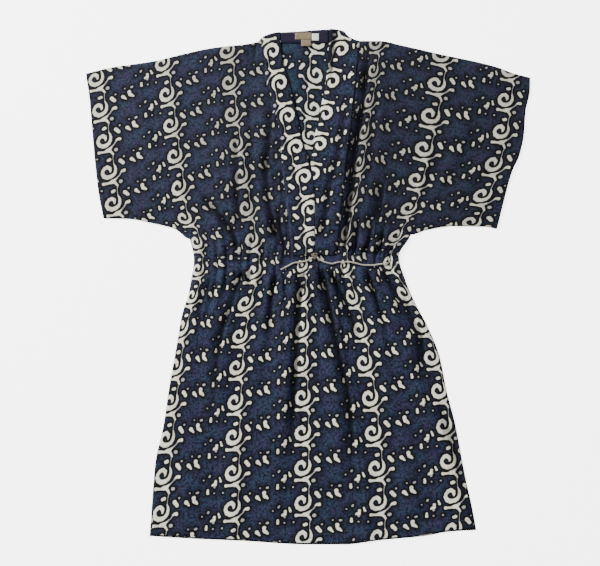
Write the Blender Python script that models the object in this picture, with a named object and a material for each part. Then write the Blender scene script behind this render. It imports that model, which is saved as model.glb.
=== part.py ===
"""Knee-length caftan with sleeves cut in one with the body and a deep V neck, laid flat, front up.

Metres, +Z up. X runs across the body, Y from the hem toward the neck. The back lies on z = 0,
and the origin is under the middle of the outline. The tables are in millimetres.
"""

import bisect
import math
from collections import namedtuple

import bmesh
import bpy
from mathutils import Vector

MM = 0.001

CLOTH = 1.2 * MM
GAP = 0.3 * MM
SEAM_INSET = 0.8 * MM

CORD_DIAMETER = 3.0 * MM
KNOT_SIZE = (9.0 * MM, 8.0 * MM, 5.0 * MM)

# The drawn-in waist: small waves on the waist line, higher ones just above and below it.
GATHERS = 18
GATHER_HEIGHT = 6.5 * MM
WAIST_RIPPLE = 3.0 * MM
GATHER_RISE = 22.0 * MM
REACH_UP = 95.0 * MM
REACH_DOWN = 125.0 * MM
GATHER_FLAT_BY_BAND = 16.0 * MM

# The slits at the foot of the side seams, where the front's edge stands back from the back's.
SLIT_TOP = -385.0 * MM
SLIT_INSET = 4.0 * MM
HEM_INSET = 3.0 * MM

Point = namedtuple("Point", "x y")

# The garment's own lines across, from its left edge to its right edge as seen in front.
HEM = [
    Point(-274, -459), Point(-209, -463), Point(-115, -467), Point(0, -473),
    Point(61, -473), Point(123, -466), Point(200, -459), Point(240, -452), Point(289, -449),
]
WAIST = [Point(-208, 24), Point(-100, 21), Point(0, 20), Point(90, 24), Point(165, 32)]
UNDERARM = [
    Point(-375, 103), Point(-331, 102), Point(-282, 93), Point(-244, 83), Point(-216, 64),
    Point(-100, 72), Point(0, 77), Point(100, 78), Point(187, 72),
    Point(217, 81), Point(265, 88), Point(325, 87), Point(345, 83),
]
SHOULDER = [
    Point(-419, 383), Point(-374, 395), Point(-288, 409), Point(-246, 420), Point(-186, 434),
    Point(-95, 447), Point(-88, 456), Point(-53, 467), Point(-19, 469), Point(40, 473),
    Point(67, 469), Point(78, 457), Point(99, 449), Point(137, 449), Point(174, 441),
    Point(252, 422), Point(322, 406), Point(361, 395), Point(385, 385), Point(419, 375),
]

# Where the body's two edges cross those four lines.
Ends = namedtuple("Ends", "left right")
BODY_ENDS = [Ends(-274, 289), Ends(-208, 165), Ends(-216, 187), Ends(-277, 252)]

# Its edges up each side: the side seam to the underarm, then the line where the sleeve begins.
LEFT_SIDE = [
    Point(-274, -459), Point(-271, -394), Point(-268, -338), Point(-255, -270), Point(-247, -205),
    Point(-237, -140), Point(-227, -74), Point(-217, -40), Point(-212, -10), Point(-208, 24),
    Point(-216, 64), Point(-229, 102), Point(-247, 222), Point(-277, 412),
]
RIGHT_SIDE = [
    Point(289, -449), Point(283, -410), Point(275, -370), Point(268, -329), Point(258, -267),
    Point(245, -212), Point(234, -150), Point(213, -94), Point(196, -61), Point(177, -15),
    Point(165, 32), Point(187, 72), Point(201, 178), Point(216, 237), Point(252, 422),
]
LEFT_CUFF = [
    Point(-375, 103), Point(-387, 158), Point(-395, 214), Point(-404, 284),
    Point(-410, 333), Point(-419, 383),
]
RIGHT_CUFF = [
    Point(345, 83), Point(360, 136), Point(377, 191), Point(391, 220),
    Point(401, 257), Point(408, 311), Point(417, 347), Point(419, 375),
]

# The V neck: where each band's outer edge lies, where each front is cut, and how far the left
# band laps over the right one.
Neck = namedtuple("Neck", "y left_outer left_cut left_tip right_cut right_outer")
NECK = [
    Neck(33, -30, 6.0, 12.0, 6.0, 51),
    Neck(62, -33, 5.4, 12.0, 6.2, 55),
    Neck(109, -38, 4.8, 12.0, 5.8, 60),
    Neck(147, -42, 4.2, 11.5, 5.2, 64),
    Neck(181, -46, 3.2, 9.0, 4.4, 69),
    Neck(200, -48, 2.2, 4.6, 4.8, 71),
    Neck(243, -50, -9, -8.4, 9.6, 76),
    Neck(305, -61, -22, -21.4, 22, 84),
    Neck(371, -78, -37, -36.4, 34, 91),
    Neck(411, -84, -49, -48.4, 38, 95),
    Neck(441, -88, -52, -51.4, 40, 98),
    Neck(472, -91, -54, -53.4, 41, 100),
]
LAP_TOP = 228.0 * MM
LAP_RISE = 20.0 * MM
LAP_CLEAR = 1.5 * MM
BAND_STEPS = 4

# The largest folds of the front, each a soft ridge between two points.
Fold = namedtuple("Fold", "x0 y0 x1 y1 width height")
FOLDS = [
    Fold(30, -20, 52, -330, 44, 5.0),
    Fold(-48, -10, -44, -290, 40, 3.6),
    Fold(-126, -5, -176, -300, 52, 4.0),
    Fold(-198, -60, -222, -300, 36, 2.6),
    Fold(116, -15, 150, -290, 46, 3.6),
    Fold(176, -70, 214, -310, 40, 3.0),
    Fold(-118, 60, -136, 380, 46, 3.6),
    Fold(-196, 110, -330, 300, 50, 2.6),
    Fold(96, 60, 118, 400, 34, 3.6),
    Fold(170, 110, 300, 330, 50, 2.8),
]

# Rows of the mesh: level 0 is the hem, 1 the waist, 2 the underarm and 3 the shoulder.
V_LEVEL = 1.22
COARSE_BELOW = [0.0, 0.1, 0.22, 0.34, 0.46, 0.57, 0.66]
FINE = [0.74, 0.80, 0.855, 0.90, 0.94, 0.97, 1.0, 1.1, V_LEVEL, 1.5, 1.75, 2.0, 2.07, 2.16, 2.28]
COARSE_ABOVE = [2.42, 2.57, 2.72, 2.87, 3.0]
BODY_COLUMNS = 16
SLEEVE_COLUMNS = 6
BACK_COLUMNS = 6

# Small pieces, as corners on the cloth.
Box = namedtuple("Box", "x0 y0 x1 y1 thickness")
NECK_LABEL = Box(-24.5, 451.4, 7.0, 465.5, 0.8)
LABEL_TAB = Box(-13.0, 438.0, 6.0, 451.0, 0.8)
SIZE_TAB = Box(7.6, 449.5, 21.0, 463.5, 0.6)
FACING_LEFT = -51.0
FACING_RIGHT = 38.5
FACING_BOTTOM = 445.0
FACING_STEPS = 8

# The drawcord's free ends, as x, y and height of the cord's middle.
CordPoint = namedtuple("CordPoint", "x y z")
CORD_RIGHT = [
    CordPoint(15.3, 29.4, 8.4), CordPoint(23, 23.5, 7.5), CordPoint(31, 19.8, 7.9),
    CordPoint(44, 17.2, 7.9), CordPoint(54, 20.0, 8.1), CordPoint(72, 20.6, 8.3),
    CordPoint(86, 17.8, 8.7), CordPoint(100, 14.6, 9.0), CordPoint(116, 14.2, 9.4),
    CordPoint(131, 16.4, 9.3), CordPoint(145, 18.0, 9.0),
]
CORD_LEFT = [
    CordPoint(7.6, 28.8, 8.4), CordPoint(-3, 22.4, 7.3), CordPoint(-14, 20.6, 7.3),
    CordPoint(-25, 18.8, 7.7), CordPoint(-36, 13.4, 8.3), CordPoint(-49.5, 6.0, 9.6),
]
KNOT = CordPoint(11.2, 32.0, 8.3)
CORD_STEP = 7.0 * MM
KNOT_SEGMENTS = 12
KNOT_RINGS = 7

NAVY = (0.030, 0.040, 0.085)
INSIDE_NAVY = (0.050, 0.070, 0.130)
FACING_NAVY = (0.040, 0.038, 0.080)
CREAM = (0.62, 0.58, 0.48)
TAN = (0.38, 0.32, 0.22)
WHITE = (0.80, 0.80, 0.80)
CLOTH_ROUGHNESS = 0.85


def mix(low, high, share):
    return low + (high - low) * share


def smooth_step(value):
    value = min(max(value, 0.0), 1.0)
    return value * value * (3.0 - 2.0 * value)


def smooth_curve(keys, values):
    """A smooth curve through the values that never overshoots them, as a function of the key."""
    slopes = [
        (values[i + 1] - values[i]) / (keys[i + 1] - keys[i]) for i in range(len(keys) - 1)
    ]
    tangents = [slopes[0]]
    for before, after in zip(slopes, slopes[1:]):
        turns = before * after <= 0.0
        tangents.append(0.0 if turns else 2.0 * before * after / (before + after))
    tangents.append(slopes[-1])

    def value_at(key):
        key = min(max(key, keys[0]), keys[-1])
        i = min(bisect.bisect_right(keys, key), len(keys) - 1) - 1
        span = keys[i + 1] - keys[i]
        t = (key - keys[i]) / span
        rise = values[i + 1] - values[i]
        bend_in = tangents[i] * span - rise
        bend_out = rise - tangents[i + 1] * span
        return values[i] + rise * t + t * (1.0 - t) * ((1.0 - t) * bend_in + t * bend_out)

    return value_at


def line_across(points):
    """The height y of a line across the garment at x."""
    return smooth_curve([p.x * MM for p in points], [p.y * MM for p in points])


def line_up(points):
    """The x of a line up the garment at y."""
    return smooth_curve([p.y * MM for p in points], [p.x * MM for p in points])


def neck_line(column):
    """The x of one of the V neck's lines at y."""
    return smooth_curve([row.y * MM for row in NECK], [getattr(row, column) * MM for row in NECK])


LINES = [line_across(points) for points in (HEM, WAIST, UNDERARM, SHOULDER)]
left_side = line_up(LEFT_SIDE)
right_side = line_up(RIGHT_SIDE)
left_cuff = line_up(LEFT_CUFF)
right_cuff = line_up(RIGHT_CUFF)


def place(across, level):
    """Where the cloth lies: across runs 0 to 1 from side to side, -1 to 0 along the left sleeve
    and 1 to 2 along the right one; level is as in the rows above."""
    low = min(int(level), len(LINES) - 2)
    share = level - low

    def height(body_share, sleeve_share):
        found = []
        for i in (low, low + 1):
            x = mix(BODY_ENDS[i].left, BODY_ENDS[i].right, body_share) * MM
            if sleeve_share and i >= 2:
                cuff = (UNDERARM, SHOULDER)[i - 2][0 if body_share == 0.0 else -1].x * MM
                x = mix(x, cuff, sleeve_share)
            found.append(LINES[i](x))
        return mix(found[0], found[1], share)

    body_share = min(max(across, 0.0), 1.0)
    sleeve_share = abs(across - body_share)
    y_left = height(0.0, 0.0)
    y_right = height(1.0, 0.0)
    x = mix(left_side(y_left), right_side(y_right), body_share)
    if sleeve_share:
        cuff_y = height(body_share, 1.0)
        cuff_x = left_cuff(cuff_y) if across < 0.0 else right_cuff(cuff_y)
        x = mix(x, cuff_x, sleeve_share)
    return x, height(body_share, sleeve_share)


def gather_edges():
    """Shares across the body where one gather ends and the next begins, unevenly wide."""
    widths = [1.0 + 0.28 * math.sin(2.4 * i + 0.6) for i in range(GATHERS)]
    edges = [0.0]
    for width in widths:
        edges.append(edges[-1] + width / sum(widths))
    return edges


GATHER_EDGES = gather_edges()


def gather_wave(across):
    """The number of the gather at a point across, and how far up its wave the point is, 0 to 1."""
    i = min(bisect.bisect_right(GATHER_EDGES, across), GATHERS) - 1
    share = (across - GATHER_EDGES[i]) / (GATHER_EDGES[i + 1] - GATHER_EDGES[i])
    return i, math.sin(math.pi * share) ** 2


def gather_height(across, x, y):
    """How high the gathers stand at a point of the body."""
    if not 0.0 <= across <= 1.0:
        return 0.0
    above_waist = y - LINES[1](x)
    number, wave = gather_wave(across)
    reach = REACH_UP if above_waist > 0.0 else REACH_DOWN
    reach *= 0.85 + 0.15 * math.sin(5.0 * number)
    size = mix(WAIST_RIPPLE, GATHER_HEIGHT, smooth_step(abs(above_waist) / GATHER_RISE))
    size *= 1.0 - smooth_step(abs(above_waist) / reach)
    beside_band = max(neck_lines["left_outer"](y) - x, x - neck_lines["right_outer"](y))
    if above_waist > 0.0:
        size *= smooth_step(beside_band / GATHER_FLAT_BY_BAND)
    return size * wave


def fold_height(fold, x, y):
    """How high one fold stands at a point: round across, and fading toward its ends."""
    start = Vector((fold.x0, fold.y0)) * MM
    end = Vector((fold.x1, fold.y1)) * MM
    along = (end - start).normalized()
    offset = Vector((x, y)) - start
    share = offset.dot(along) / (end - start).length
    side = abs(offset.x * along.y - offset.y * along.x) / (0.5 * fold.width * MM)
    if side >= 1.0 or not 0.0 < share < 1.0:
        return 0.0
    return fold.height * MM * math.sin(math.pi * share) * math.cos(0.5 * math.pi * side) ** 2


def front_height(across, x, y):
    """How high the front's underside stands above the back."""
    return gather_height(across, x, y) + max(fold_height(fold, x, y) for fold in FOLDS)


neck_lines = {column: neck_line(column) for column in Neck._fields[1:]}

Station = namedtuple("Station", "across level")


def across_at(column, level):
    """The share across the body where a line of the V neck crosses a row."""
    low, high = 0.0, 1.0
    for _ in range(30):
        middle = 0.5 * (low + high)
        x, y = place(middle, level)
        if x < neck_lines[column](y):
            low = middle
        else:
            high = middle
    return low


def sleeve_columns(first, last):
    return [mix(first, last, i / SLEEVE_COLUMNS) for i in range(SLEEVE_COLUMNS + 1)]


def body_columns(fine):
    """Shares across the body: four to each gather where they stand, a few even ones elsewhere."""
    if not fine:
        return [i / BODY_COLUMNS for i in range(BODY_COLUMNS + 1)]
    columns = []
    for left, right in zip(GATHER_EDGES, GATHER_EDGES[1:]):
        columns += [mix(left, right, quarter / 4) for quarter in range(4)]
    return columns + [1.0]


def front_row(level):
    """The row's runs of stations: one below the V neck, one on each side of it above."""
    row_y = place(0.0, level)[1]
    inset = SEAM_INSET
    if row_y < SLIT_TOP:
        inset = SLIT_INSET
    columns = body_columns(level in FINE)
    width = place(1.0, level)[0] - place(0.0, level)[0]
    columns[0] = inset / width
    columns[-1] = 1.0 - inset / width
    if level >= 2.0:
        columns = sleeve_columns(-1.0, 0.0)[:-1] + [0.0] + columns[1:-1] + [1.0]
        columns += sleeve_columns(1.0, 2.0)[1:]
    if level < V_LEVEL:
        return [[Station(across, level) for across in columns]]
    left_outer = across_at("left_outer", level)
    left_cut = across_at("left_cut", level)
    right_cut = across_at("right_cut", level)
    right_outer = across_at("right_outer", level)
    if level == V_LEVEL:
        right_cut = left_cut
    clear = 0.3 / (len(body_columns(level in FINE)) - 1)
    left_run = [a for a in columns if a < left_outer - clear]
    left_run += [mix(left_outer, left_cut, i / BAND_STEPS) for i in range(BAND_STEPS + 1)]
    right_run = [mix(right_cut, right_outer, i / BAND_STEPS) for i in range(BAND_STEPS + 1)]
    right_run += [a for a in columns if a > right_outer + clear]
    return [[Station(a, level) for a in left_run], [Station(a, level) for a in right_run]]


def back_row(level):
    columns = [i / BACK_COLUMNS for i in range(BACK_COLUMNS + 1)]
    if level >= 2.0:
        columns = sleeve_columns(-1.0, 0.0)[:-1] + columns + sleeve_columns(1.0, 2.0)[1:]
    if level == 3.0:
        columns = sorted(set(columns) | {i / (4 * BACK_COLUMNS) for i in range(4 * BACK_COLUMNS)})
    return [[Station(across, level) for across in columns]]


class Sheet:
    """A piece of cloth as triangles over stations, before it gets its thickness."""

    def __init__(self):
        self.numbers = {}
        self.points = []
        self.triangles = []

    def vertex(self, station, point):
        """The number of the vertex at a station, made at the point when it is new."""
        if station not in self.numbers:
            self.numbers[station] = len(self.points)
            self.points.append(Vector(point))
        return self.numbers[station]

    def stitch(self, lower, upper):
        """Fills between two runs of (across, vertex number), by the shorter step each time."""
        i = 0
        j = 0
        while i < len(lower) - 1 or j < len(upper) - 1:
            upper_done = j == len(upper) - 1
            lower_done = i == len(lower) - 1
            if upper_done or (not lower_done and lower[i + 1][0] <= upper[j + 1][0]):
                self.triangles.append((lower[i][1], lower[i + 1][1], upper[j][1]))
                i += 1
            else:
                self.triangles.append((lower[i][1], upper[j + 1][1], upper[j][1]))
                j += 1

    def normals(self):
        """Each vertex's direction out of the cloth, as the mean of its triangles'."""
        found = [Vector((0.0, 0.0, 0.0)) for _ in self.points]
        for a, b, c in self.triangles:
            normal = (self.points[b] - self.points[a]).cross(self.points[c] - self.points[a])
            for corner in (a, b, c):
                found[corner] += normal
        return [normal.normalized() for normal in found]


def rows_to_sheet(rows, point_at):
    """A sheet through rows of runs, where point_at gives a station's place."""
    sheet = Sheet()
    for lower_row, upper_row in zip(rows, rows[1:]):
        has_sleeves = lower_row[0][0].across < -0.5
        split = len(upper_row) > len(lower_row)
        for side, upper_run in enumerate(upper_row):
            lower_run = lower_row[0 if split else side]
            if not has_sleeves:
                upper_run = [s for s in upper_run if 0.0 <= s.across <= 1.0]
            pairs = []
            for run in (lower_run, upper_run):
                pairs.append([(s.across, sheet.vertex(s, point_at(s))) for s in run])
            sheet.stitch(pairs[0], pairs[1])
    return sheet


def make_material(name, colour, roughness=CLOTH_ROUGHNESS):
    material = bpy.data.materials.new(name)
    material.use_nodes = True
    shader = material.node_tree.nodes["Principled BSDF"]
    shader.inputs["Base Color"].default_value = (*colour, 1.0)
    shader.inputs["Roughness"].default_value = roughness
    shader.inputs["Metallic"].default_value = 0.0
    return material


def add_object(name, mesh, colour, smooth=True):
    if smooth:
        mesh.shade_smooth()
    mesh.materials.append(make_material(name + "_material", colour))
    made = bpy.data.objects.new(name, mesh)
    bpy.context.scene.collection.objects.link(made)
    return made


def add_wall(name, lower, upper, triangles, colour):
    """A closed wall between two layers of points that share the same triangles."""
    count = len(lower)
    edges = set()
    for a, b, c in triangles:
        edges.update(((a, b), (b, c), (c, a)))
    rim = [edge for edge in edges if edge[::-1] not in edges]
    faces = [(a + count, b + count, c + count) for a, b, c in triangles]
    faces += [(c, b, a) for a, b, c in triangles]
    for a, b in sorted(rim):
        faces.append((b + count, a + count, a))
        faces.append((b + count, a, b))
    mesh = bpy.data.meshes.new(name)
    mesh.from_pydata([tuple(p) for p in lower + upper], [], faces)
    mesh.validate()
    add_object(name, mesh, colour)


def offset(points, normals, distance):
    return [point + normal * distance for point, normal in zip(points, normals)]


def make_back_panel():
    levels = COARSE_BELOW + FINE[::2] + COARSE_ABOVE
    levels = sorted(set(levels) | {1.0, 2.0})

    def point_at(station):
        return (*place(station.across, station.level), 0.0)

    sheet = rows_to_sheet([back_row(level) for level in levels], point_at)
    upper = [point + Vector((0.0, 0.0, CLOTH)) for point in sheet.points]
    add_wall("back_panel", sheet.points, upper, sheet.triangles, INSIDE_NAVY)


def front_point(station):
    x, y = place(station.across, station.level)
    if station.level == 0.0:
        y += HEM_INSET
    return x, y, CLOTH + GAP + front_height(station.across, x, y)


def make_front_panel():
    """The front, and the sheet of it that the bands are made from."""
    levels = COARSE_BELOW + FINE + COARSE_ABOVE
    rows = [front_row(level) for level in levels]
    split = levels.index(V_LEVEL)
    v_row = rows[split]
    rows[split] = [v_row[0] + v_row[1][1:]]
    sheet = rows_to_sheet(rows[:split + 1], front_point)
    above = [v_row] + rows[split + 1:]
    upper_sheet = rows_to_sheet(above, front_point)
    renumber = [sheet.vertex(station, upper_sheet.points[number])
                for station, number in upper_sheet.numbers.items()]
    for triangle in upper_sheet.triangles:
        sheet.triangles.append(tuple(renumber[corner] for corner in triangle))
    normals = sheet.normals()
    upper = offset(sheet.points, normals, CLOTH)
    add_wall("front_panel", sheet.points, upper, sheet.triangles, NAVY)
    return sheet, normals, above


def make_band(name, front, normals, runs, lap):
    """A band on the front, from the front's own points moved out. The left one's free edge goes on
    past the cut to its tip, and rises there where it laps over the right one."""
    sheet = Sheet()
    heights = {}
    columns = []
    for run in runs:
        column = []
        for step, station in enumerate(run):
            number = front.numbers[station]
            made = sheet.vertex(station, front.points[number] + normals[number] * (CLOTH + GAP))
            heights[made] = normals[number]
            column.append((step, made))
        if lap:
            x, y = place(run[-1].across, run[-1].level)
            rise = lap * smooth_step((LAP_TOP - y) / LAP_RISE)
            sheet.points[column[-1][1]] += Vector((-LAP_CLEAR, 0.0, rise))
            tip = Vector(sheet.points[column[-1][1]])
            tip.x = neck_lines["left_tip"](y)
            made = sheet.vertex(("tip", run[-1].level), tip)
            heights[made] = normals[front.numbers[run[-1]]]
            column.append((len(run), made))
        columns.append(column)
    for lower, upper in zip(columns, columns[1:]):
        sheet.stitch(lower, upper)
    out = [heights[number] for number in range(len(sheet.points))]
    add_wall(name, sheet.points, offset(sheet.points, out, CLOTH), sheet.triangles, NAVY)


def make_neck_facing():
    """The strip inside the back neck, flat on the back."""
    sheet = Sheet()
    rows = []
    for share in (0.0, 1.0):
        row = []
        for i in range(FACING_STEPS + 1):
            x = mix(FACING_LEFT, FACING_RIGHT, i / FACING_STEPS) * MM
            top = LINES[3](x) - GAP
            point = (x, mix(FACING_BOTTOM * MM, top, share), CLOTH + GAP)
            row.append((x, sheet.vertex((i, share), point)))
        rows.append(row)
    sheet.stitch(rows[0], rows[1])
    upper = [point + Vector((0.0, 0.0, CLOTH)) for point in sheet.points]
    add_wall("back_neck_facing", sheet.points, upper, sheet.triangles, FACING_NAVY)


def make_label(name, box, floor, colour):
    mesh = bpy.data.meshes.new(name)
    bm = bmesh.new()
    bmesh.ops.create_cube(bm, size=1.0)
    size = Vector((box.x1 - box.x0, box.y1 - box.y0, box.thickness)) * MM
    middle = Vector(((box.x0 + box.x1) / 2, (box.y0 + box.y1) / 2, 0.0)) * MM
    for vertex in bm.verts:
        vertex.co = Vector(a * b for a, b in zip(vertex.co, size)) + middle
        vertex.co.z += floor + size.z / 2
    bm.to_mesh(mesh)
    bm.free()
    add_object(name, mesh, colour, smooth=False)


def make_cord(name, route):
    """A cord's free end as a tube along a smooth curve through its points."""
    travelled = [0.0]
    for before, after in zip(route, route[1:]):
        step = Vector(after) - Vector(before)
        travelled.append(travelled[-1] + step.length * MM)
    axes = [smooth_curve(travelled, [getattr(p, axis) * MM for p in route]) for axis in "xyz"]
    count = math.ceil(travelled[-1] / CORD_STEP)
    curve = bpy.data.curves.new(name, "CURVE")
    curve.dimensions = "3D"
    curve.bevel_depth = CORD_DIAMETER / 2
    curve.bevel_resolution = 2
    curve.use_fill_caps = True
    spline = curve.splines.new("POLY")
    spline.points.add(count)
    for i in range(count + 1):
        distance = travelled[-1] * i / count
        spline.points[i].co = (*(axis(distance) for axis in axes), 1.0)
    curve.materials.append(make_material(name + "_material", CREAM))
    bpy.context.scene.collection.objects.link(bpy.data.objects.new(name, curve))


def make_knot():
    mesh = bpy.data.meshes.new("cord_knot")
    bm = bmesh.new()
    bmesh.ops.create_uvsphere(bm, u_segments=KNOT_SEGMENTS, v_segments=KNOT_RINGS, radius=0.5)
    middle = Vector(KNOT) * MM
    for vertex in bm.verts:
        vertex.co = Vector(a * b for a, b in zip(vertex.co, KNOT_SIZE)) + middle
    bm.to_mesh(mesh)
    bm.free()
    add_object("cord_knot", mesh, CREAM)


for old in list(bpy.data.objects):
    bpy.data.objects.remove(old, do_unlink=True)

make_back_panel()
front_sheet, front_normals, neck_rows = make_front_panel()
left_runs = [row[0][-BAND_STEPS - 1:] for row in neck_rows]
right_runs = [row[1][:BAND_STEPS + 1] for row in neck_rows]
make_band("neck_band_left", front_sheet, front_normals, left_runs, CLOTH + GAP)
make_band("neck_band_right", front_sheet, front_normals, right_runs, 0.0)
make_neck_facing()
label_floor = 2.0 * (CLOTH + GAP)
make_label("neck_label", NECK_LABEL, label_floor, TAN)
make_label("label_tab", LABEL_TAB, label_floor, TAN)
make_label("size_tab", SIZE_TAB, label_floor, WHITE)
make_cord("drawcord_right", CORD_RIGHT)
make_cord("drawcord_left", CORD_LEFT)
make_knot()
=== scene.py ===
"""Looks for the caftan laid flat: creased printed cotton, its cord and labels, and the light.

Metres, +Z up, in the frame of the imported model. The tables are in millimetres.
"""

import bisect
import math
from collections import namedtuple

import bmesh
import bpy
import numpy as np
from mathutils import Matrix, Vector, noise


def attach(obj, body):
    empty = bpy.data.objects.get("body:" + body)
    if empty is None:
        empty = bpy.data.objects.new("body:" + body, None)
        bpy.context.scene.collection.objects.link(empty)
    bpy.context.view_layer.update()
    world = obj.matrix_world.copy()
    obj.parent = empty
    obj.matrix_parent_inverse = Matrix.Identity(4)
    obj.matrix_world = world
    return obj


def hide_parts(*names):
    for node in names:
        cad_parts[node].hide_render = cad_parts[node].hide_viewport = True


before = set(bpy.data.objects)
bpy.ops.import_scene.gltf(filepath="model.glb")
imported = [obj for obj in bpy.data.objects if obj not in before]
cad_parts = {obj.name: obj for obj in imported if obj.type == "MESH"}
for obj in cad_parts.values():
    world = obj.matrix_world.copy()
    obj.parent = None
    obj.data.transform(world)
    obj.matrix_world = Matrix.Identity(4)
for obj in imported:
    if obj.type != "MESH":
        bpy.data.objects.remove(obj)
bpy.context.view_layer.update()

MM = 0.001


def rows_of(kind, *rows):
    """The rows of a table whose columns have the kind's names."""
    return [kind(*row) for row in rows]


# The model's own walls, which the cloth here lies in.
CLOTH = 1.2 * MM
GAP = 0.3 * MM
SEAM_INSET = 0.8 * MM
CORD_DIAMETER = 3.0 * MM
GATHERS = 18
GATHER_HEIGHT = 6.5 * MM
WAIST_RIPPLE = 3.0 * MM
GATHER_RISE = 22.0 * MM
REACH_UP = 95.0 * MM
REACH_DOWN = 125.0 * MM
GATHER_FLAT_BY_BAND = 16.0 * MM
SLIT_TOP = -385.0 * MM
SLIT_INSET = 4.0 * MM
HEM_INSET = 3.0 * MM
LAP_TOP = 228.0 * MM
LAP_RISE = 20.0 * MM
LAP_CLEAR = 1.5 * MM
V_LEVEL = 1.22

Point = namedtuple("Point", "x y")
HEM = rows_of(
    Point, (-274, -459), (-209, -463), (-115, -467), (0, -473), (61, -473), (123, -466),
    (200, -459), (240, -452), (289, -449),
)
WAIST = rows_of(
    Point, (-208, 24), (-100, 21), (0, 20), (90, 24), (165, 32),
)
UNDERARM = rows_of(
    Point, (-375, 103), (-331, 102), (-282, 93), (-244, 83), (-216, 64), (-100, 72), (0, 77),
    (100, 78), (187, 72), (217, 81), (265, 88), (325, 87), (345, 83),
)
SHOULDER = rows_of(
    Point, (-419, 383), (-374, 395), (-288, 409), (-246, 420), (-186, 434), (-95, 447),
    (-88, 456), (-53, 467), (-19, 469), (40, 473), (67, 469), (78, 457), (99, 449), (137, 449),
    (174, 441), (252, 422), (322, 406), (361, 395), (385, 385), (419, 375),
)
Ends = namedtuple("Ends", "left right")
BODY_ENDS = rows_of(
    Ends, (-274, 289), (-208, 165), (-216, 187), (-277, 252),
)
LEFT_SIDE = rows_of(
    Point, (-274, -459), (-271, -394), (-268, -338), (-255, -270), (-247, -205), (-237, -140),
    (-227, -74), (-217, -40), (-212, -10), (-208, 24), (-216, 64), (-229, 102), (-247, 222),
    (-277, 412),
)
RIGHT_SIDE = rows_of(
    Point, (289, -449), (283, -410), (275, -370), (268, -329), (258, -267), (245, -212),
    (234, -150), (213, -94), (196, -61), (177, -15), (165, 32), (187, 72), (201, 178), (216, 237),
    (252, 422),
)
LEFT_CUFF = rows_of(
    Point, (-375, 103), (-387, 158), (-395, 214), (-404, 284), (-410, 333), (-419, 383),
)
RIGHT_CUFF = rows_of(
    Point, (345, 83), (360, 136), (377, 191), (391, 220), (401, 257), (408, 311), (417, 347),
    (419, 375),
)
Neck = namedtuple("Neck", "y left_outer left_cut left_tip right_cut right_outer")
NECK = rows_of(
    Neck,
    (33, -30, 6.0, 12.0, 6.0, 51),
    (62, -33, 5.4, 12.0, 6.2, 55),
    (109, -38, 4.8, 12.0, 5.8, 60),
    (147, -42, 4.2, 11.5, 5.2, 64),
    (181, -46, 3.2, 9.0, 4.4, 69),
    (200, -48, 2.2, 4.6, 4.8, 71),
    (243, -50, -9, -8.4, 9.6, 76),
    (305, -61, -22, -21.4, 22, 84),
    (371, -78, -37, -36.4, 34, 91),
    (411, -84, -49, -48.4, 38, 95),
    (441, -88, -52, -51.4, 40, 98),
    (472, -91, -54, -53.4, 41, 100),
)
Fold = namedtuple("Fold", "x0 y0 x1 y1 width height")
FOLDS = rows_of(
    Fold,
    (30, -20, 52, -330, 44, 5.0),
    (-48, -10, -44, -290, 40, 3.6),
    (-126, -5, -176, -300, 52, 4.0),
    (-198, -60, -222, -300, 36, 2.6),
    (116, -15, 150, -290, 46, 3.6),
    (176, -70, 214, -310, 40, 3.0),
    (-118, 60, -136, 380, 46, 3.6),
    (-196, 110, -330, 300, 50, 2.6),
    (96, 60, 118, 400, 34, 3.6),
    (170, 110, 300, 330, 50, 2.8),
)

# The cord's route, as x, y and height of its middle.
CordPoint = namedtuple("CordPoint", "x y z")
CORD_RIGHT = rows_of(
    CordPoint, (15.3, 29.4, 8.4), (23, 23.5, 7.5), (31, 19.8, 7.9), (44, 17.2, 7.9),
    (54, 20.0, 8.1), (72, 20.6, 8.3), (86, 17.8, 8.7), (100, 14.6, 9.0), (116, 14.2, 9.4),
    (131, 16.4, 9.3), (145, 18.0, 9.0),
)
CORD_LEFT = rows_of(
    CordPoint, (7.6, 28.8, 8.4), (-3, 22.4, 7.3), (-14, 20.6, 7.3), (-25, 18.8, 7.7),
    (-36, 13.4, 8.3), (-49.5, 6.0, 9.6),
)
KNOT = CordPoint(11.2, 32.0, 8.3)

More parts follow.
